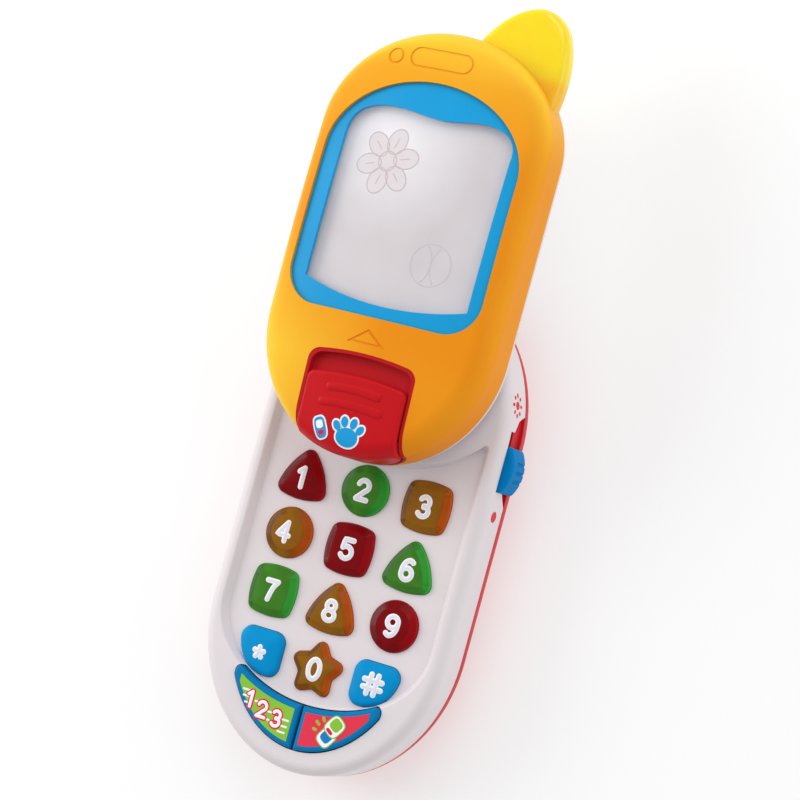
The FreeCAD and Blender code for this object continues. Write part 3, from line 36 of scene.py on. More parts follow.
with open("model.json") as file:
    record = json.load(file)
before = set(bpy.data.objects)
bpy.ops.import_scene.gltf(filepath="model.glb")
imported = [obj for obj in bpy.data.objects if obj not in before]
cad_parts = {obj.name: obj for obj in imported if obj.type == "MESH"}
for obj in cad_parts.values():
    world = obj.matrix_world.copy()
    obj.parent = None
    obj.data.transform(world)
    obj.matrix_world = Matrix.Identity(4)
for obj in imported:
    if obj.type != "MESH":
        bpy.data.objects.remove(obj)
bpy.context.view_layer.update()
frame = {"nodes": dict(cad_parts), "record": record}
nodes = frame["nodes"]
slots = {subpart["node"]: subpart["material_slot"] for subpart in frame["record"]["subparts"]}

MM = 0.001


# ------------------------------------------------------------------ colours and materials

def srgb(code):
    """A linear colour from a six-digit screen colour."""
    channels = [int(code[n:n + 2], 16) / 255 for n in (0, 2, 4)]
    linear = [c / 12.92 if c <= 0.04045 else ((c + 0.055) / 1.055) ** 2.4 for c in channels]
    return (*linear, 1.0)


def shade(colour, share):
    """A colour made darker (share below 1) or lighter (above 1)."""
    return (*[min(1.0, c * share) for c in colour[:3]], 1.0)


class Graph:
    """A material's node tree, with short ways to add the nodes that this scene uses."""

    def __init__(self, name):
        self.material = bpy.data.materials.new(name)
        self.material.use_nodes = True
        self.tree = self.material.node_tree
        self.shader = self.tree.nodes["Principled BSDF"]
        self.place = self.add("ShaderNodeTexCoord").outputs["Object"]

    def add(self, kind, **values):
        node = self.tree.nodes.new(kind)
        for key, value in values.items():
            setattr(node, key, value)
        return node

    def link(self, source, target):
        self.tree.links.new(source, target)

    def noise(self, size, detail=3.0, place=None):
        """A noise whose features are about size millimetres across."""
        node = self.add("ShaderNodeTexNoise")
        node.inputs["Scale"].default_value = 1 / (size * MM)
        node.inputs["Detail"].default_value = detail
        self.link(place or self.place, node.inputs["Vector"])
        return node.outputs["Fac"]

    def ramp(self, source, stops):
        """A colour ramp from (position, colour) stops."""
        node = self.add("ShaderNodeValToRGB")
        elements = node.color_ramp.elements
        while len(elements) < len(stops):
            elements.new(0.5)
        for element, (position, colour) in zip(elements, stops):
            element.position = position
            element.color = colour
        self.link(source, node.inputs["Fac"])
        return node.outputs["Color"]

    def spread(self, source, low, high, low_in=0.3, high_in=0.7):
        """A value moved from one range to another."""
        node = self.add("ShaderNodeMapRange")
        node.inputs["From Min"].default_value = low_in
        node.inputs["From Max"].default_value = high_in
        node.inputs["To Min"].default_value = low
        node.inputs["To Max"].default_value = high
        self.link(source, node.inputs["Value"])
        return node.outputs["Result"]

    def mix(self, share, first, second):
        """Two colours mixed; each may be a socket or a plain colour, and share a socket or a number."""
        node = self.add("ShaderNodeMix", data_type="RGBA")
        colours_in = [socket for socket in node.inputs if socket.type == "RGBA"]
        for value, socket in zip((share, first, second), (node.inputs["Factor"], *colours_in)):
            if isinstance(value, bpy.types.NodeSocket):
                self.link(value, socket)
            else:
                socket.default_value = value
        return [socket for socket in node.outputs if socket.type == "RGBA"][0]

    def chain(self, operation, values):
        """Values joined one after another by an operation, held between 0 and 1."""
        total = values[0]
        for value in values[1:]:
            node = self.add("ShaderNodeMath", operation=operation, use_clamp=True)
            self.link(total, node.inputs[0])
            self.link(value, node.inputs[1])
            total = node.outputs["Value"]
        return total

    def sum(self, *values):
        return self.chain("ADD", values)

    def product(self, *values):
        return self.chain("MULTIPLY", values)

    def bump(self, source, strength, depth):
        """A bump from a height field, with a depth in millimetres."""
        node = self.add("ShaderNodeBump")
        node.inputs["Strength"].default_value = strength
        node.inputs["Distance"].default_value = depth * MM
        self.link(source, node.inputs["Height"])
        self.link(node.outputs["Normal"], self.shader.inputs["Normal"])

    def colour(self, source):
        self.link(source, self.shader.inputs["Base Color"])

    def settings(self, **values):
        for key, value in values.items():
            self.shader.inputs[key.replace("_", " ")].default_value = value


def moulded(name, colour, rough, grain=0.12, tone=0.04, coat=0.0, grain_size=0.45, gloss=0.18):
    """Moulded plastic: slight tone change over the piece, a fine spark-eroded grain and uneven gloss."""
    graph = Graph(name)
    broad = graph.noise(22, detail=2)
    graph.colour(graph.ramp(broad, [(0.3, shade(colour, 1 - tone)), (0.7, shade(colour, 1 + tone))]))
    graph.link(graph.spread(graph.noise(6), rough - 0.03, rough + 0.04), graph.shader.inputs["Roughness"])
    graph.bump(graph.noise(grain_size, detail=4), grain, 0.02)
    graph.settings(Coat_Weight=coat, Coat_Roughness=0.12, Specular_IOR_Level=gloss)
    return graph.material


def edge_lit(name, face, lit, rough, gloss=0.05):
    """Moulded plastic with painted light: it turns yellower, as where lamps catch it, on its left and far
    edges, at its far end and at its lower left.
    """
    painted_light_side = (-0.5, 0.75, 0.0)
    far_start, far_middle, far_end = 88 * MM, 108 * MM, 120 * MM
    left_start, left_end = -27 * MM, 3 * MM
    near_start, near_end = 36 * MM, 68 * MM
    graph = Graph(name)
    normal = graph.add("ShaderNodeNewGeometry").outputs["Normal"]
    parts = graph.add("ShaderNodeSeparateXYZ")
    graph.link(normal, parts.inputs["Vector"])
    place = graph.add("ShaderNodeSeparateXYZ")
    graph.link(graph.place, place.inputs["Vector"])
    toward = graph.add("ShaderNodeVectorMath", operation="DOT_PRODUCT")
    graph.link(normal, toward.inputs[0])
    toward.inputs[1].default_value = painted_light_side
    # painted highlight: steep faces turned toward the left and far side take the lit colour
    facing = graph.spread(toward.outputs["Value"], 0, 1.1, -0.8, 0.7)
    steep = graph.product(graph.spread(parts.outputs["Z"], 1, 0, 0.25, 0.93), facing)
    # painted light from above: yellower toward the far end
    far = graph.sum(graph.spread(place.outputs["Y"], 0, 0.35, far_start, far_middle),
                    graph.spread(place.outputs["Y"], 0, 0.65, far_middle, far_end))
    # painted light from the left: yellower at the lower left
    left = graph.product(graph.spread(place.outputs["X"], 1, 0, left_start, left_end),
                         graph.spread(place.outputs["Y"], 0.95, 0.05, near_start, near_end))
    # the painted light varies a little at random over the piece
    wave = graph.spread(graph.noise(26, detail=1), -0.06, 0.08)
    # upright walls take half of the painted light
    upright = graph.spread(parts.outputs["Z"], 0.5, 1, 0.0, 0.4)
    share = graph.product(graph.sum(steep, far, left, wave), upright)
    graph.colour(graph.mix(share, face, lit))
    graph.link(graph.spread(graph.noise(6), rough - 0.03, rough + 0.04), graph.shader.inputs["Roughness"])
    graph.bump(graph.noise(0.45, detail=4), 0.1, 0.02)
    graph.settings(Specular_IOR_Level=gloss)
    return graph.material


def brushed(name, colour, rough):
    """Plated metal with fine draw lines."""
    graph = Graph(name)
    stretch = graph.add("ShaderNodeMapping")
    stretch.inputs["Scale"].default_value = (1, 12, 12)
    graph.link(graph.place, stretch.inputs["Vector"])
    lines = graph.noise(1.5, detail=4, place=stretch.outputs["Vector"])
    graph.colour(graph.ramp(lines, [(0.25, shade(colour, 0.85)), (0.75, shade(colour, 1.1))]))
    graph.link(graph.spread(lines, rough - 0.06, rough + 0.08), graph.shader.inputs["Roughness"])
    graph.bump(lines, 0.1, 0.02)
    graph.settings(Metallic=1.0)
    return graph.material


def tinted(name, shaded_flank, face, rim):
    """Clear coloured plastic of a key, with painted light and shade: a painted shade on its left flank, a deep
    face, and a painted glow on its right flank and outer edge.
    """
    graph = Graph(name)
    normal = graph.add("ShaderNodeNewGeometry").outputs["Normal"]
    parts = graph.add("ShaderNodeSeparateXYZ")
    graph.link(normal, parts.inputs["Vector"])
    toward = graph.add("ShaderNodeMath", operation="MULTIPLY_ADD")
    graph.link(parts.outputs["X"], toward.inputs[0])
    toward.inputs[1].default_value = 0.5
    toward.inputs[2].default_value = 0.5
    # painted light and shade by the way the surface faces: left-facing slopes take the shaded colour, two
    # darker painted bands lie where the band meets the face, right-facing slopes take the brighter rim colour
    # as a painted glow
    stops = [(0.10, shade(shaded_flank, 0.7)), (0.34, shaded_flank), (0.40, shade(face, 0.75)), (0.46, shade(face, 1.15)),
             (0.55, face), (0.61, shade(rim, 0.75)), (0.67, rim), (0.95, shade(rim, 1.5))]
    painted_flank_light = graph.ramp(toward.outputs["Value"], stops)
    cloud = graph.ramp(graph.noise(3.2, detail=3), [(0.35, shade(face, 0.7)), (0.65, shade(face, 1.3))])
    # painted glow: near-upright sides turn a bright rim colour, as light through the clear plastic lights the
    # outer edge
    painted_edge_glow = graph.spread(parts.outputs["Z"], 0.75, 0, 0.3, 0.75)
    graph.colour(graph.mix(painted_edge_glow, graph.mix(0.22, painted_flank_light, cloud), shade(rim, 1.5)))
    graph.link(graph.spread(graph.noise(5), 0.14, 0.22), graph.shader.inputs["Roughness"])
    graph.bump(graph.noise(1.1, detail=2), 0.06, 0.03)
    graph.settings(Specular_IOR_Level=0.08)
    return graph.material


def lens():
    """The clear window over the panel: a thin gloss film with faint haze."""
    graph = Graph("clear_window")
    graph.colour(graph.ramp(graph.noise(9), [(0.3, srgb("F2F0F4")), (0.7, srgb("FFFFFF"))]))
    graph.link(graph.spread(graph.noise(7), 0.05, 0.10), graph.shader.inputs["Roughness"])
    graph.bump(graph.noise(12, detail=1), 0.02, 0.02)
    graph.settings(Alpha=0.10)
    return graph.material


def milky():
    """The milky panel, with a painted glow near its upper left as if lit from behind, by a lighter colour and
    more emission there, and a faint painted glow over all of it.
    """
    glow_across, glow_along = 0.34, 0.73
    graph = Graph("milky_panel")
    low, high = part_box("screen_panel")
    size = high - low
    centre = Vector((low.x + glow_across * size.x, low.y + glow_along * size.y, high.z))
    shift = graph.add("ShaderNodeVectorMath", operation="DISTANCE")
    graph.link(graph.place, shift.inputs[0])
    shift.inputs[1].default_value = centre
    away = graph.spread(shift.outputs["Value"], 1, 0, 3 * MM, 25 * MM)
    # painted light: the panel's colour turns lighter toward the glow's centre
    base = graph.ramp(away, [(0.0, srgb("C4BBBD")), (0.45, srgb("D2CCCF")), (1.0, srgb("E4E0E3"))])
    cloud = graph.ramp(graph.noise(5.5, detail=4), [(0.3, srgb("C4BBC2")), (0.7, srgb("DEDADF"))])
    graph.colour(graph.mix(0.16, base, cloud))
    graph.settings(Emission_Color=(1.0, 0.98, 0.98, 1.0))
    # painted glow by emission, strongest near the glow's centre and faint all over, which also lifts the shade
    # near the border
    graph.link(graph.spread(away, 0.10, 0.17, 0.3, 1), graph.shader.inputs["Emission Strength"])
    graph.link(graph.spread(graph.noise(4), 0.42, 0.55), graph.shader.inputs["Roughness"])
    graph.bump(graph.noise(0.8, detail=3), 0.05, 0.02)
    return graph.material


def glowing_cap(name, colour, deep):
    """The antenna's clear yellow plastic: bright, with a painted shade, a deeper tone, near its root where it
    meets the shell, and a soft inner glow.
    """
    graph = Graph(name)
    low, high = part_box("antenna")
    split = graph.add("ShaderNodeSeparateXYZ")
    graph.link(graph.place, split.inputs["Vector"])
    length = high.y - low.y
    # painted shade: the colour deepens toward the root, where the antenna meets the shell
    along = graph.spread(split.outputs["Y"], 0, 1, low.y + 0.3 * length, low.y + 0.5 * length)
    graph.colour(graph.mix(0.12, graph.ramp(along, [(0.0, deep), (0.5, shade(colour, 0.95)), (1.0, colour)]),
                           graph.ramp(graph.noise(4), [(0.3, deep), (0.7, colour)])))
    graph.link(graph.spread(graph.noise(7), 0.14, 0.22), graph.shader.inputs["Roughness"])
    graph.bump(graph.noise(1.4, detail=2), 0.05, 0.02)
    graph.settings(Subsurface_Weight=0.35, Subsurface_Radius=(1.0, 0.7, 0.1), Subsurface_Scale=3 * MM,
                   Coat_Weight=0.12, Coat_Roughness=0.08)
    return graph.material


def printed(name, colour, rough=0.4):
    """Pad-printed ink, with the slight unevenness of its cover."""
    return moulded(name, colour, rough, grain=0.05, tone=0.025, grain_size=0.3)


WHITE = srgb("E6DEE0")
ORANGE = srgb("F2931A")
RED = srgb("C8161E")
YELLOW = srgb("FFE20C")

materials = {
    "white_shell": moulded("white_shell", WHITE, 0.34, tone=0.012),
    "red_shell": moulded("red_shell", srgb("CE2028"), 0.36, gloss=0.08),
    # the shell's second colour is the painted light on its edges, far end and lower left
    "orange_shell": edge_lit("orange_shell", ORANGE, srgb("FFCE38"), 0.36),
    "blue_border": moulded("blue_border", srgb("169EDA"), 0.3, grain=0.05),
    "clear_window": lens(),
    "milky_panel": milky(),
    "dark_red_tray": moulded("dark_red_tray", srgb("BE1A22"), 0.42, gloss=0.08),
    "red_thumb": moulded("red_thumb", RED, 0.36, gloss=0.1),
    # the antenna's deeper colour is painted shade near its root, and also its random tone
    "yellow_antenna": glowing_cap("yellow_antenna", YELLOW, srgb("FFBE08")),
    "blue_rubber": moulded("blue_rubber", srgb("057DB6"), 0.5, grain=0.2, gloss=0.06),
    "blue_key": moulded("blue_key", srgb("0492D0"), 0.38, grain=0.08, gloss=0.06),
    "blue_switch": moulded("blue_switch", srgb("007FC2"), 0.46, gloss=0.03),
    # clear keys: the shaded colour is painted shade on the left flank, the rim colour also gives the painted
    # glow on the right flank and outer edge
    "red_key": tinted("red_key", srgb("6E2A2C"), srgb("7A0A10"), srgb("960A10")),
    "green_key": tinted("green_key", srgb("3C6A30"), srgb("3F7A26"), srgb("2E9A34")),
    "amber_key": tinted("amber_key", srgb("6C4424"), srgb("8A5A14"), srgb("B0480A")),
    "screw_steel": brushed("screw_steel", srgb("C4C4C8"), 0.3),
    "contact_metal": brushed("contact_metal", srgb("D4D2CC"), 0.25),
    "speaker_steel": brushed("speaker_steel", srgb("A8A8AC"), 0.35),
    "speaker_paper": moulded("speaker_paper", srgb("2A2A2E"), 0.8, grain=0.5, grain_size=0.8),
    "cell_wrap": moulded("cell_wrap", srgb("34383C"), 0.3, grain=0.03, coat=0.3),
    "circuit_board": moulded("circuit_board", srgb("1F7A42"), 0.4, grain=0.2, tone=0.1),
    "black_component": moulded("black_component", srgb("222224"), 0.5, grain=0.3),
    "membrane_rubber": moulded("membrane_rubber", srgb("D0CECA"), 0.6, grain=0.2),
    "guide_plastic": moulded("guide_plastic", srgb("58585C"), 0.45, grain=0.2),
    "ribbon_film": moulded("ribbon_film", srgb("D8D2C0"), 0.5, grain=0.1),
    "white_light": moulded("white_light", srgb("F4F2E6"), 0.2, grain=0.03, coat=0.3),
}

inks = {
    "numeral_white": printed("numeral_white", srgb("FBFAFD"), 0.35),
    # the numerals' pale core is painted shade, standing for the shade in a shallow groove down each stroke
    "numeral_groove_shade": printed("numeral_groove_shade", srgb("E6E6F2"), 0.4),
    "label_green": printed("label_green", srgb("8CC63A")),
    "label_pink": printed("label_pink", srgb("E8364F")),
    "label_crimson": printed("label_crimson", srgb("E0204A")),
    "label_blue": printed("label_blue", srgb("1480C8")),
    "icon_blue": printed("icon_blue", srgb("179FDC")),
    "mark_red": printed("mark_red", srgb("DC1E2C")),
    "panel_print": printed("panel_print", srgb("D0BCBE"), 0.5),
    "panel_print_light": printed("panel_print_light", srgb("CBC2C6"), 0.5),
    "panel_tint": printed("panel_tint", srgb("E9E0E2"), 0.5),
}

for node_name, slot_name in slots.items():
    mesh = nodes[node_name].data
    mesh.materials.clear()
    mesh.materials.append(materials[slot_name])


# ------------------------------------------------------------------ outlines, in millimetres

def arc(x, y, across, along, start, end, steps=16):
    """Points on an ellipse about (x, y), between two angles in degrees."""
    turns = [math.radians(start + (end - start) * n / steps) for n in range(steps + 1)]
    return [(x + across * math.cos(a), y + along * math.sin(a)) for a in turns]


def oval(x, y, across, along, steps):
    """A closed ellipse about (x, y)."""
    return arc(x, y, across, along, 0, 360, steps)[:-1]


def soft_box(across, along, steps=28):
    """A box about the origin with bowed sides and round corners, from its half sizes."""
    points = []
    for n in range(steps):
        c, s = math.cos(2 * math.pi * n / steps), math.sin(2 * math.pi * n / steps)
        points.append((across * math.copysign(abs(c) ** 0.6, c), along * math.copysign(abs(s) ** 0.6, s)))
    return points


def smooth(points, steps=6):
    """A smooth line through a few points."""
    ends = [points[0]] + list(points) + [points[-1]]
    line = []
    for a, b, c, d in zip(ends, ends[1:], ends[2:], ends[3:]):
        for n in range(steps):
            u = n / steps
            line.append(tuple(0.5 * (2 * q + (r - p) * u + (2 * p - 5 * q + 4 * r - s) * u * u
                                     + (3 * q - p - 3 * r + s) * u ** 3)
                              for p, q, r, s in zip(a, b, c, d)))
    return line + [tuple(points[-1])]


def arc_chain(circles, grow=0.0):
    """The outline round circles (x, y, radius), counter-clockwise; a negative radius bends inwards."""
    if len(circles) == 1:
        x, y, radius = circles[0]
        return oval(x, y, radius + grow, radius + grow, 72)
    facing = []
    for (x0, y0, r0), (x1, y1, r1) in zip(circles, circles[1:] + circles[:1]):
        apart = math.hypot(x1 - x0, y1 - y0)
        tangent = math.acos(max(-1.0, min(1.0, (r0 - r1) / apart)))
        facing.append(math.atan2(y1 - y0, x1 - x0) - tangent)
    points = []
    for n, (x, y, radius) in enumerate(circles):
        start = facing[n - 1]
        sweep = (facing[n] - start) % (2 * math.pi)
        if radius < 0:
            sweep -= 2 * math.pi
        points += arc(x, y, radius + grow, radius + grow, math.degrees(start), math.degrees(start + sweep), 9)
    return points


# ------------------------------------------------------------------ mesh building

# how far from the origin a search for the surface starts, in metres, well outside the phone
OUTSIDE = 0.2
# how far a label's skin reaches into the surface under it, in millimetres
SKIN_DEPTH = 0.08


def piece(name, points, faces, material, body, sharp=40):
    """A mesh in place, riding on a body. Points are in millimetres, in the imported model's frame."""
    mesh = bpy.data.meshes.new(name)
    mesh.from_pydata([Vector(p) * MM for p in points], [], faces)
    mesh.materials.append(material)
    mesh.validate()
    for polygon in mesh.polygons:
        polygon.use_smooth = True
    mesh.set_sharp_from_angle(angle=math.radians(sharp))
    made = bpy.data.objects.new(name, mesh)
    bpy.context.scene.collection.objects.link(made)
    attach(made, body)
    return made


def lofted(rings):
    """Points and faces of a closed solid through rings of equal length, capped at both ends."""
    count = len(rings[0])
    points = [point for ring in rings for point in ring]
    faces = []
    for level in range(len(rings) - 1):
        for n in range(count):
            a, b = level * count + n, level * count + (n + 1) % count
            faces.append((a, b, b + count, a + count))
    faces.append(tuple(reversed(range(count))))
    faces.append(tuple(range(len(points) - count, len(points))))
    return points, faces


def surface_of(thing, axis=2):
    """A function that finds the outer surface over a point of the plane across an axis, in millimetres."""
    mesh = thing.data
    tree = BVHTree.FromPolygons([v.co for v in mesh.vertices], [p.vertices for p in mesh.polygons])
    away = Vector((0, 0, 0))
    away[axis] = 1.0
    across = [n for n in range(3) if n != axis]

    def find(u, v):
        start = away * OUTSIDE
        start[across[0]] = u * MM
        start[across[1]] = v * MM
        hit, normal, _, _ = tree.ray_cast(start, -away)
        if hit is None:
            raise ValueError(f"nothing under ({u:.1f}, {v:.1f}) on {thing.name}")
        if normal.dot(away) < 0:
            normal = -normal
        return hit / MM, normal.copy()

    return find


def filled(outline, spacing):
    """Points and triangles that fill a closed outline, with a grid of points inside."""
    low = [min(p[n] for p in outline) for n in (0, 1)]
    high = [max(p[n] for p in outline) for n in (0, 1)]
    grid = []
    for column in range(int((high[0] - low[0]) / spacing) + 1):
        for row in range(int((high[1] - low[1]) / spacing) + 1):
            grid.append(Vector((low[0] + (column + 0.5) * spacing, low[1] + (row + 0.5) * spacing)))
    edge = [Vector(p) for p in outline]
    clear = [g for g in grid if min((g - e).length for e in edge) > 0.4 * spacing]
    points, _, faces, *_ = delaunay_2d_cdt(edge + clear, [], [list(range(len(edge)))], 1, 1e-6)
    return points, faces


def label(name, outlines, find, material, body, lift=0.05, spacing=1.2):
    """A thin closed skin on a surface, from one or more outlines."""
    points, faces = [], []
    for outline in outlines:
        flat, triangles = filled(outline, spacing)
        used = sorted({n for triangle in triangles for n in triangle})
        first = len(points)
        where = {n: first + k for k, n in enumerate(used)}
        found = [find(*flat[n]) for n in used]
        points += [hit + normal * lift for hit, normal in found]
        points += [hit - normal * SKIN_DEPTH for hit, normal in found]
        count = len(used)
        rims = {}
        for triangle in triangles:
            top = [where[n] for n in triangle]
            faces.append(tuple(top))
            faces.append(tuple(n + count for n in reversed(top)))
            for a, b in zip(top, top[1:] + top[:1]):
                rims[(a, b)] = rims.get((a, b), 0) + 1
        for a, b in list(rims):
            if (b, a) not in rims:
                faces.append((b, a, a + count, b + count))
    return piece(name, points, faces, material, body, sharp=30)


def strokes(name, lines, find, width, height, material, body, closed=(), lift=0.0):
    """Round-ended raised strokes on a surface, along one or more lines."""
    section = 12
    tip_rings = 4
    radius = width / 2
    points, faces = [], []
    for index, path in enumerate(lines):
        loop = index in closed
        found = [find(*p) for p in path]
        hits = [hit + normal * lift for hit, normal in found]
        count = len(hits)
        rings = []
        for n, (hit, (_, normal)) in enumerate(zip(hits, found)):
            ahead = hits[(n + 1) % count] if loop else hits[min(n + 1, count - 1)]
            behind = hits[n - 1] if loop else hits[max(n - 1, 0)]
            along = (ahead - behind).normalized()
            side = normal.cross(along).normalized()
            rings.append((hit, along, side, normal, 1.0))
        if not loop:
            first, last = rings[0], rings[-1]
            caps = [math.radians(90 * (k + 0.4) / (tip_rings + 0.4)) for k in range(tip_rings)]
            start = [(first[0] - first[1] * radius * math.cos(a), *first[1:4], math.sin(a)) for a in caps]
            caps.reverse()
            end = [(last[0] + last[1] * radius * math.cos(a), *last[1:4], math.sin(a)) for a in caps]
            rings = start + rings + end
        base = len(points)
        for hit, _, side, normal, share in rings:
            for k in range(section):
                a = 2 * math.pi * k / section
                across = side * (radius * share * math.cos(a))
                points.append(hit + across + normal * (height * share * math.sin(a)))
        total = len(rings)
        for n in range(total if loop else total - 1):
            for k in range(section):
                here, there = base + n * section, base + (n + 1) % total * section
                faces.append((here + k, there + k, there + (k + 1) % section, here + (k + 1) % section))
        if not loop:
            faces.append(tuple(base + k for k in range(section)))
            faces.append(tuple(base + (total - 1) * section + k for k in reversed(range(section))))
    return piece(name, points, faces, material, body, sharp=60)


# ------------------------------------------------------------------ numerals

def moved(lines, x, y, size=1.0, turn=0.0):
    """Lines scaled, turned by degrees and moved."""
    c, s = math.cos(math.radians(turn)) * size, math.sin(math.radians(turn)) * size
    return [[(x + c * u - s * v, y + s * u + c * v) for u, v in line] for line in lines]


def polyline(*points, steps=6):
    """Straight runs with points along them, so that they follow a surface."""
    line = []
    for (x0, y0), (x1, y1) in zip(points, points[1:]):
        line += [(x0 + (x1 - x0) * n / steps, y0 + (y1 - y0) * n / steps) for n in range(steps)]
    return line + [points[-1]]


SIX = smooth([(1.15, 2.0), (0.35, 2.4), (-0.7, 1.85), (-1.3, 0.6), (-1.42, -0.95)])
NUMERALS = {
    "0": [oval(0, 0, 1.5, 2.42, 32)],
    "1": [polyline((-1.0, 1.35), (0.2, 2.35)), polyline((0.2, 2.35), (0.2, -2.4))],
    "2": [arc(0, 1.0, 1.42, 1.42, 165, -30, 14) + polyline((0.95, 0.1), (-1.4, -2.3))[1:],
          polyline((-1.4, -2.35), (1.45, -2.35))],
    "3": [arc(-0.1, 1.15, 1.25, 1.25, 150, -90, 16), arc(-0.1, -1.1, 1.4, 1.3, 90, -150, 18)],
    "4": [polyline((0.7, 2.3), (-1.6, -0.95), (1.55, -0.95)), polyline((0.7, 2.3), (0.7, -2.4))],
    "5": [polyline((1.35, 2.3), (-0.95, 2.3), (-1.15, 0.2)), arc(-0.05, -0.85, 1.5, 1.5, 135, -150, 20)],
    "6": [SIX, oval(0, -0.95, 1.42, 1.42, 24)],
    "7": [polyline((-1.45, 2.3), (1.45, 2.3)), smooth([(1.45, 2.3), (0.4, 0.6), (-0.4, -2.4)])],
    "8": [oval(0, 1.25, 1.15, 1.12, 22), oval(0, -1.15, 1.42, 1.28, 26)],
    "9": [[(-x, -y) for x, y in SIX], oval(0, 0.95, 1.42, 1.42, 24)],
    "star": [polyline((0, 0), (1.3 * math.cos(a), 1.3 * math.sin(a)), steps=3)
             for a in (math.radians(90 + 72 * n) for n in range(5))],
    "hash": [polyline((x - 0.2, -2.4), (x + 0.2, 2.4)) for x in (-0.95, 0.95)]
            + [polyline((-2.35, y), (2.35, y)) for y in (-0.95, 0.95)],
}
# which of a numeral's strokes are closed
LOOPS = {"0": (0,), "6": (1,), "8": (0, 1), "9": (1,)}


# ------------------------------------------------------------------ keys

CAP = {
    # driving sizes of the caps, in millimetres
    "side_radius": 18.0,
    "corner": 1.9,
    "circle": 6.2,
    "square": 6.2,
    "triangle": 5.15,
    "triangle_drop": 1.0,
    "star_tip": (5.3, 1.5),
    "star_waist": (6.2, -1.4),
    "star_drop": 0.65,
    # the star and hash keys, from the phone's middle line and their row's
    "small_corner": 2.8,
    "large_corner": 9.0,
    "corner_outer": 22.1,
    "corner_inner": 10.1,
    "corner_top": 5.2,
    "corner_bottom": 5.8,
    "corner_numeral": 17.0,
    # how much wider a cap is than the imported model's, inside the same hole
    "fuller": 0.15,
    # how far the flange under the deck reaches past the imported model's cap, and its thickness
    "flange": 0.6,
    "flange_thickness": 1.0,
}

# how far in and how far down each ring of a cap's rim lies, and the drop from the face's middle to its edge
CLEAR_RIM = ((0.0, 1.3), (0.06, 1.1), (0.22, 0.93), (0.5, 0.8), (1.7, 0.36), (1.82, 0.27), (1.95, 0.24))
CLEAR_CROWN = 0.24
BLUE_RIM = ((0.0, 1.5), (0.08, 1.1), (0.3, 0.78), (0.65, 0.55), (1.1, 0.42), (1.7, 0.32))
BLUE_CROWN = 0.32
# the rings across the face, as shares of its outline
FACE_RINGS = (0.85, 0.65, 0.42, 0.2, 0.06)

# how far a numeral sits to the right of its key's middle, and above it
NUMERAL_SHIFT = {"4": -0.9, "hash": -0.9, "star": 1.3}
NUMERAL_RISE = {"star": -0.6, "8": -0.7, "1": -0.9, "6": -0.9, "0": -0.6}


def bulged(x, y, sides, inradius, first_corner):
    """Circles of a regular polygon with bulging sides and round corners."""
    bulge, corner = CAP["side_radius"], CAP["corner"]
    back = bulge - inradius
    half = math.pi / sides
    reach = math.sqrt((bulge - corner) ** 2 - (back * math.sin(half)) ** 2) - back * math.cos(half)
    circles = []
    for n in range(sides):
        turn = first_corner + 2 * half * n
        circles.append((x + reach * math.cos(turn), y + reach * math.sin(turn), corner))
        turn += half
        circles.append((x - back * math.cos(turn), y - back * math.sin(turn), bulge))
    return circles


def round_cap(x, y):
    return [(x, y, CAP["circle"])]


def square_cap(x, y):
    return bulged(x, y, 4, CAP["square"], math.pi / 4)


def triangle_cap(x, y):
    return bulged(x, y - CAP["triangle_drop"], 3, CAP["triangle"], math.pi / 2)


def star_cap(x, y):
    circles = []
    for n in range(10):
        reach, radius = CAP["star_waist"] if n % 2 else CAP["star_tip"]
        angle = math.pi / 2 + n * math.pi / 5
        circles.append((x + reach * math.cos(angle), y - CAP["star_drop"] + reach * math.sin(angle), radius))
    return circles


def corner_cap(x, y):
    side = 1 if x > 0 else -1
    small, large = CAP["small_corner"], CAP["large_corner"]
    outer, inner = CAP["corner_outer"], CAP["corner_inner"]
    top, bottom = y + CAP["corner_top"], y - CAP["corner_bottom"]
    circles = [(inner + small, top - small, small), (inner + small, bottom + small, small),
               (outer - large, bottom + large, large), (outer - small, top - small, small)]
    circles = [(side * cx, cy, radius) for cx, cy, radius in circles]
    return circles if side > 0 else circles[::-1]


ROWS = [
    [("key_1", triangle_cap), ("key_2", round_cap), ("key_3", square_cap)],
    [("key_4", round_cap), ("key_5", square_cap), ("key_6", triangle_cap)],
    [("key_7", square_cap), ("key_8", triangle_cap), ("key_9", round_cap)],
    [("key_star", corner_cap), ("key_0", star_cap), ("key_hash", corner_cap)],
]


def middle(node):
    low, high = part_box(node)
    return (low + high) / 2 / MM


def key_cap(name, circles, clear):
    """A cap on its flange: steep sides, a sloping band and a gently crowned face."""
    low, high = (corner.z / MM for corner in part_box(name))
    centre = Vector((sum(c[0] for c in circles) / len(circles), sum(c[1] for c in circles) / len(circles)))
    fuller = CAP["fuller"]
    outline = arc_chain(circles, fuller)
    flange = arc_chain(circles, CAP["flange"])
    flange_top = low + CAP["flange_thickness"]
    rim = CLEAR_RIM if clear else BLUE_RIM
    crown = CLEAR_CROWN if clear else BLUE_CROWN

    def ring(points, z):
        return [(px, py, z) for px, py in points]

    rings = [ring(flange, low), ring(flange, flange_top), ring(outline, flange_top)]
    # small corners limit how far the band can run in
    limit = 0.92 * min(radius for _, _, radius in circles if radius > 0)
    share = min(1.0, limit / rim[-1][0])
    rings += [ring(arc_chain(circles, fuller - inset * share), high - drop) for inset, drop in rim]
    inner = arc_chain(circles, fuller - rim[-1][0] * share)
    for reach in FACE_RINGS:
        face = [(centre.x + (px - centre.x) * reach, centre.y + (py - centre.y) * reach) for px, py in inner]
        rings.append(ring(face, high - crown * reach * reach))
    points, faces = lofted(rings)
    slot = slots[name]
    cap = piece(name + "_cap", points, faces, materials[slot], name, sharp=34 if clear else 50)
    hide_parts(name)
    return cap


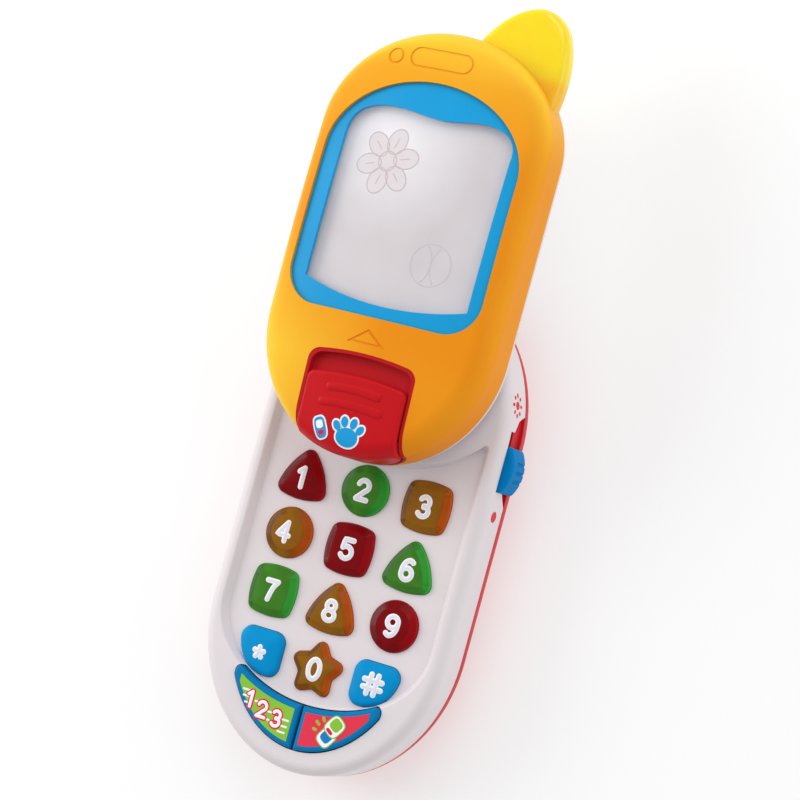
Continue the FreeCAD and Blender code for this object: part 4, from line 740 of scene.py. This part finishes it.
def make_keys():
    first, second = middle("key_2").y, middle("key_5").y
    for row, keys in enumerate(ROWS):
        y = first + row * (second - first)
        for name, outline in keys:
            numeral = name.split("_")[1]
            blue = outline is corner_cap
            x = middle(name).x
            if blue:
                x = math.copysign(CAP["corner_numeral"], x)
            find = surface_of(key_cap(name, outline(x, y), not blue))
            shift, rise = NUMERAL_SHIFT.get(numeral, 0), NUMERAL_RISE.get(numeral, 0)
            lines = moved(NUMERALS[numeral], x + shift, y + rise)
            loops = LOOPS.get(numeral, ())
            wide = 1.45 if blue else 1.4
            strokes(f"{name}_numeral", lines, find, wide, 0.16, inks["numeral_white"], name, loops)
            # a pale core along each stroke: painted shade of a shallow groove down its middle
            strokes(f"{name}_numeral_groove_shade", lines, find, wide * 0.5, 0.05, inks["numeral_groove_shade"], name, loops,
                    lift=0.14)


# ------------------------------------------------------------------ labels on the two function buttons

BUTTON = {
    # the crescent of the two buttons, in millimetres: both of its edges are ellipses about one centre
    "centre_y": -27.0,
    "outer_half_width": 24.7,
    "outer_reach": 31.3,
    "inner_half_width": 28.6,
    "inner_reach": 20.3,
    "half_gap": 0.3,
    # the margins round a label, along the edges and at the tip
    "margin": 1.3,
    "tip_margin": 1.6,
}

STRIPES = (
    # middle and length of each white stripe round the digits
    (-15.4, -47.6, 2.0), (-15.0, -49.1, 2.0), (-14.2, -50.6, 2.0), (-11.2, -49.7, 2.4), (-8.0, -51.2, 3.0),
    (-3.2, -52.0, 1.6), (-3.4, -53.6, 1.8), (-8.6, -53.2, 2.0), (-3.6, -55.1, 1.8),
)

PHONE_LAYERS = (
    # name, centre, half width, half height, ink, lift
    ("lower_edge", (8.6, -52.9), 2.2, 2.6, "label_green", 0.07),
    ("lower_body", (8.6, -52.9), 1.95, 2.35, "numeral_white", 0.10),
    ("lower_face", (8.7, -52.6), 1.4, 1.7, "label_blue", 0.13),
    ("upper_edge", (10.1, -49.9), 2.3, 2.7, "label_green", 0.16),
    ("upper_body", (10.1, -49.9), 2.05, 2.45, "numeral_white", 0.19),
    ("upper_face", (10.4, -49.4), 1.5, 1.5, "label_green", 0.22),
    ("upper_spot", (9.0, -51.3), 1.05, 0.45, "label_crimson", 0.22),
)
PHONE_TILT = -35


def button_outline(side):
    """The outline of a function button's label: the button's own crescent, moved inwards."""
    centre, margin = BUTTON["centre_y"], BUTTON["margin"]
    wide, reach = BUTTON["outer_half_width"] - margin, BUTTON["outer_reach"] - margin
    inner_wide, inner_reach = BUTTON["inner_half_width"] + margin, BUTTON["inner_reach"] + margin
    start = BUTTON["half_gap"] + margin
    bend = (reach / wide) ** 2 - (inner_reach / inner_wide) ** 2
    crossing = math.sqrt((reach ** 2 - inner_reach ** 2) / bend)
    end = crossing - BUTTON["tip_margin"]
    steps = 24
    xs = [start + (end - start) * n / steps for n in range(steps + 1)]
    low = [(x, centre - reach * math.sqrt(1 - (x / wide) ** 2)) for x in xs]
    high = [(x, centre - inner_reach * math.sqrt(1 - (x / inner_wide) ** 2)) for x in reversed(xs)]
    outline = [(side * x, y) for x, y in low + high]
    return outline if side > 0 else outline[::-1]


def make_digits_label():
    """A green label with the digits 1, 2 and 3 among short stripes."""
    body = "crescent_button_left"
    find = surface_of(nodes[body])
    label("button_label_left", [button_outline(-1)], find, inks["label_green"], body)
    stripes = [polyline((x - length / 2, y), (x + length / 2, y)) for x, y, length in STRIPES]
    strokes("button_stripes", stripes, find, 0.5, 0.03, inks["numeral_white"], body, lift=0.05)
    for numeral, x, y in (("1", -13.8, -49.5), ("2", -10.1, -51.2), ("3", -5.7, -52.3)):
        lines = moved(NUMERALS[numeral], x, y, 0.78)
        edge = inks["label_crimson"]
        strokes(f"button_numeral_{numeral}_edge", lines, find, 1.65, 0.06, edge, body, lift=0.05)
        strokes(f"button_numeral_{numeral}", lines, find, 0.9, 0.07, inks["numeral_white"], body, lift=0.08)


def make_phone_label():
    """A pink label with a small slide phone and three dashes of sound."""
    body = "crescent_button_right"
    find = surface_of(nodes[body])
    label("button_label_right", [button_outline(1)], find, inks["label_pink"], body)
    for name, (x, y), across, along, ink, lift in PHONE_LAYERS:
        outline = moved([soft_box(across, along)], x, y, turn=PHONE_TILT)
        label(f"button_icon_{name}", outline, find, inks[ink], body, lift=lift, spacing=0.9)
    dashes = [
        polyline((7.0, -49.2), (6.6, -48.6)),
        polyline((5.8, -50.4), (5.1, -49.9)),
        polyline((5.3, -51.9), (4.7, -51.8)),
    ]
    strokes("button_icon_dashes", dashes, find, 0.75, 0.04, inks["label_green"], body, lift=0.05)


# ------------------------------------------------------------------ thumb pad

RIDGES = (
    # place along the pad, half length, and how far the ends hang back
    (30.0, 6.4, 0.45),
    (26.2, 7.6, 0.5),
)

PAW = (
    # the heel and the four toes: x, y, half width, half height, turn in degrees
    (0, 0, 3.3, 2.6, 0),
    (-3.6, 2.6, 1.0, 1.45, 35),
    (-1.5, 4.0, 1.05, 1.5, 12),
    (1.3, 4.0, 1.05, 1.5, -12),
    (3.5, 2.6, 1.0, 1.45, -35),
)
PAW_X, PAW_Y, PAW_SIZE = 1.0, 18.6, 0.88

SMALL_PHONE = (
    # name, half width, half height, ink, lift, place up the phone
    ("edge", 1.8, 2.95, "numeral_white", 0.06, 0),
    ("body", 1.42, 2.55, "icon_blue", 0.14, 0),
    ("screen", 0.9, 1.0, "numeral_white", 0.20, 0.8),
    ("keys", 0.8, 0.55, "label_crimson", 0.20, -1.2),
)
SMALL_PHONE_X, SMALL_PHONE_Y, SMALL_PHONE_TILT = -6.4, 19.4, 26


def make_thumb_pad():
    """Two low grip ridges and a printed paw beside a phone."""
    body = "thumb_slide"
    find = surface_of(nodes[body])
    for n, (y, half, sag) in enumerate(RIDGES):
        line = [(x, y - sag * (x / half) ** 2) for x in (half * (k / 10 - 1) for k in range(21))]
        strokes(f"thumb_ridge_{n + 1}", [line], find, 2.2, 0.3, materials["red_thumb"], body)
    for grow, lift, ink, name in ((0.5, 0.06, "numeral_white", "edge"), (0.0, 0.14, "icon_blue", "pad")):
        for n, (x, y, across, along, turn) in enumerate(PAW):
            spot = moved([oval(0, 0, across + grow, along + grow, 26)], x, y, turn=turn)
            outline = moved(spot, PAW_X, PAW_Y, PAW_SIZE)
            label(f"thumb_paw_{name}_{n + 1}", outline, find, inks[ink], body, lift=lift, spacing=1.0)
    for name, across, along, ink, lift, up in SMALL_PHONE:
        box = moved([soft_box(across, along)], 0, up)
        outline = moved(box, SMALL_PHONE_X, SMALL_PHONE_Y, turn=SMALL_PHONE_TILT)
        label(f"thumb_phone_{name}", outline, find, inks[ink], body, lift=lift, spacing=1.0)


# ------------------------------------------------------------------ prints behind the window

def make_panel_prints():
    """A faint flower and a fainter ball, printed on the milky panel."""
    body = "slider"
    find = surface_of(nodes["screen_panel"])
    x, y = -9.0, 86.0
    petals, veins = [], []
    for n in range(6):
        turn = 60 * n + 15
        c, s = math.cos(math.radians(turn)), math.sin(math.radians(turn))
        petals += moved([oval(0, 0, 3.3, 2.5, 26)], x + 4.9 * c, y + 5.3 * s, turn=turn)
        veins.append(polyline((x + 3.5 * c, y + 3.8 * s), (x + 5.8 * c, y + 6.2 * s), steps=3))
    heart = oval(x, y, 2.4, 2.5, 26)
    outlines = petals + [heart]
    label("panel_petals", petals, find, inks["panel_tint"], body, lift=0.04)
    label("panel_heart", [heart], find, inks["panel_tint"], body, lift=0.045)
    strokes("panel_flower", outlines, find, 0.32, 0.05, inks["panel_print"], body, range(len(outlines)), 0.03)
    strokes("panel_veins", veins, find, 0.3, 0.05, inks["panel_print"], body, lift=0.03)
    x, y = 9.5, 63.5
    ball = [
        oval(x, y, 5.2, 5.2, 36),
        arc(x - 4.2, y, 4.2, 5.6, -52, 52, 12),
        arc(x + 4.2, y, 4.2, 5.6, 128, 232, 12),
    ]
    strokes("panel_ball", ball, find, 0.34, 0.04, inks["panel_print_light"], body, closed=(0,))


# ------------------------------------------------------------------ marks beside the switch

def make_side_marks():
    """A plain spot on the near side of the switch, and a spot with rays on its far side."""
    body = "base"
    find = surface_of(nodes["base_front_shell"], axis=0)
    red, lift = inks["mark_red"], 0.09
    label("switch_mark_low", [oval(9.5, 16.3, 1.35, 1.5, 24)], find, red, body, lift, spacing=0.7)
    y, z = 37.2, 17.1
    label("switch_mark_high", [oval(y, z, 1.0, 1.05, 20)], find, red, body, lift, spacing=0.6)
    rays = []
    for turn in range(0, 360, 45):
        a = math.radians(turn)
        ray = [oval(0, 0, 0.55, 0.42, 12)]
        rays += moved(ray, y + 2.4 * math.cos(a), z + 2.4 * math.sin(a), turn=turn)
    label("switch_mark_rays", rays, find, red, body, lift, spacing=0.5)


# ------------------------------------------------------------------ surroundings

def make_floor():
    """A pale floor whose far edges curve up out of sight."""
    half, steps = 1.4, 24
    # the floor keeps this far below the phone's flat back, in millimetres
    gap = 0.2
    points, faces = [], []
    for j in range(steps + 1):
        for i in range(steps + 1):
            u, v = 2 * i / steps - 1, 2 * j / steps - 1
            rise = max(0.0, max(abs(u), abs(v)) - 0.8) ** 2 * 4
            points.append((half * u / MM, half * v / MM, rise / MM - gap))
    for j in range(steps):
        for i in range(steps):
            a = j * (steps + 1) + i
            faces.append((a, a + 1, a + steps + 2, a + steps + 1))
    mesh = bpy.data.meshes.new("floor")
    mesh.from_pydata([Vector(p) * MM for p in points], [], faces)
    paper = moulded("floor_paper", srgb("BEBEBE"), 0.9, grain=0.02, tone=0.004)
    shader = paper.node_tree.nodes["Principled BSDF"]
    shader.inputs["Emission Color"].default_value = (1.0, 1.0, 1.0, 1.0)
    shader.inputs["Emission Strength"].default_value = 0.5
    mesh.materials.append(paper)
    for polygon in mesh.polygons:
        polygon.use_smooth = True
    floor = bpy.data.objects.new("floor", mesh)
    bpy.context.scene.collection.objects.link(floor)


# the camera's turn, nod and roll in degrees, the point it aims at, its distance and its lens in millimetres
VIEW_TURN, VIEW_NOD, VIEW_ROLL = 23.997, -2.2338, -15.3277
view = (Matrix.Rotation(math.radians(VIEW_ROLL), 3, "Z") @ Matrix.Rotation(math.radians(VIEW_NOD), 3, "X")
        @ Matrix.Rotation(math.radians(-VIEW_TURN), 3, "Y"))
BACK = view.row[2].copy()
AIM = Vector((2.401, 31.374, 19.950)) * MM
DISTANCE = 602.38 * MM
LENS = 109.70


def make_camera():
    data = bpy.data.cameras.new("camera")
    data.sensor_width = 36.0
    data.lens = LENS
    data.clip_start = 0.01
    data.clip_end = 20.0
    camera = bpy.data.objects.new("camera", data)
    camera.matrix_world = Matrix.Translation(AIM + BACK * DISTANCE) @ view.transposed().to_4x4()
    bpy.context.scene.collection.objects.link(camera)
    bpy.context.scene.camera = camera


def make_light(name, direction, distance, size, power, colour=(1, 1, 1)):
    """A soft square light that faces the phone."""
    data = bpy.data.lights.new(name, "AREA")
    data.shape = "SQUARE"
    data.size = size
    data.energy = power
    data.color = colour
    light = bpy.data.objects.new(name, data)
    toward = direction.normalized()
    light.location = AIM + toward * distance
    light.rotation_euler = toward.to_track_quat("Z", "Y").to_euler()
    bpy.context.scene.collection.objects.link(light)


def make_lights():
    make_light("left_box", Vector((-0.88, 0.10, 0.52)), 1.0, 0.7, 5.6, (1.0, 0.99, 0.98))
    make_light("head_box", Vector((0.12, 0.75, 0.66)), 1.1, 0.8, 3.4)
    make_light("right_box", Vector((0.88, 0.25, 0.50)), 1.2, 0.8, 2.5)
    world = bpy.data.worlds.new("studio")
    world.use_nodes = True
    background = world.node_tree.nodes["Background"]
    background.inputs["Color"].default_value = (0.97, 0.98, 1.0, 1.0)
    background.inputs["Strength"].default_value = 0.52
    bpy.context.scene.world = world
    bpy.context.scene.view_settings.view_transform = "Standard"


make_keys()
make_digits_label()
make_phone_label()
make_thumb_pad()
make_panel_prints()
make_side_marks()
make_floor()
make_camera()
make_lights()
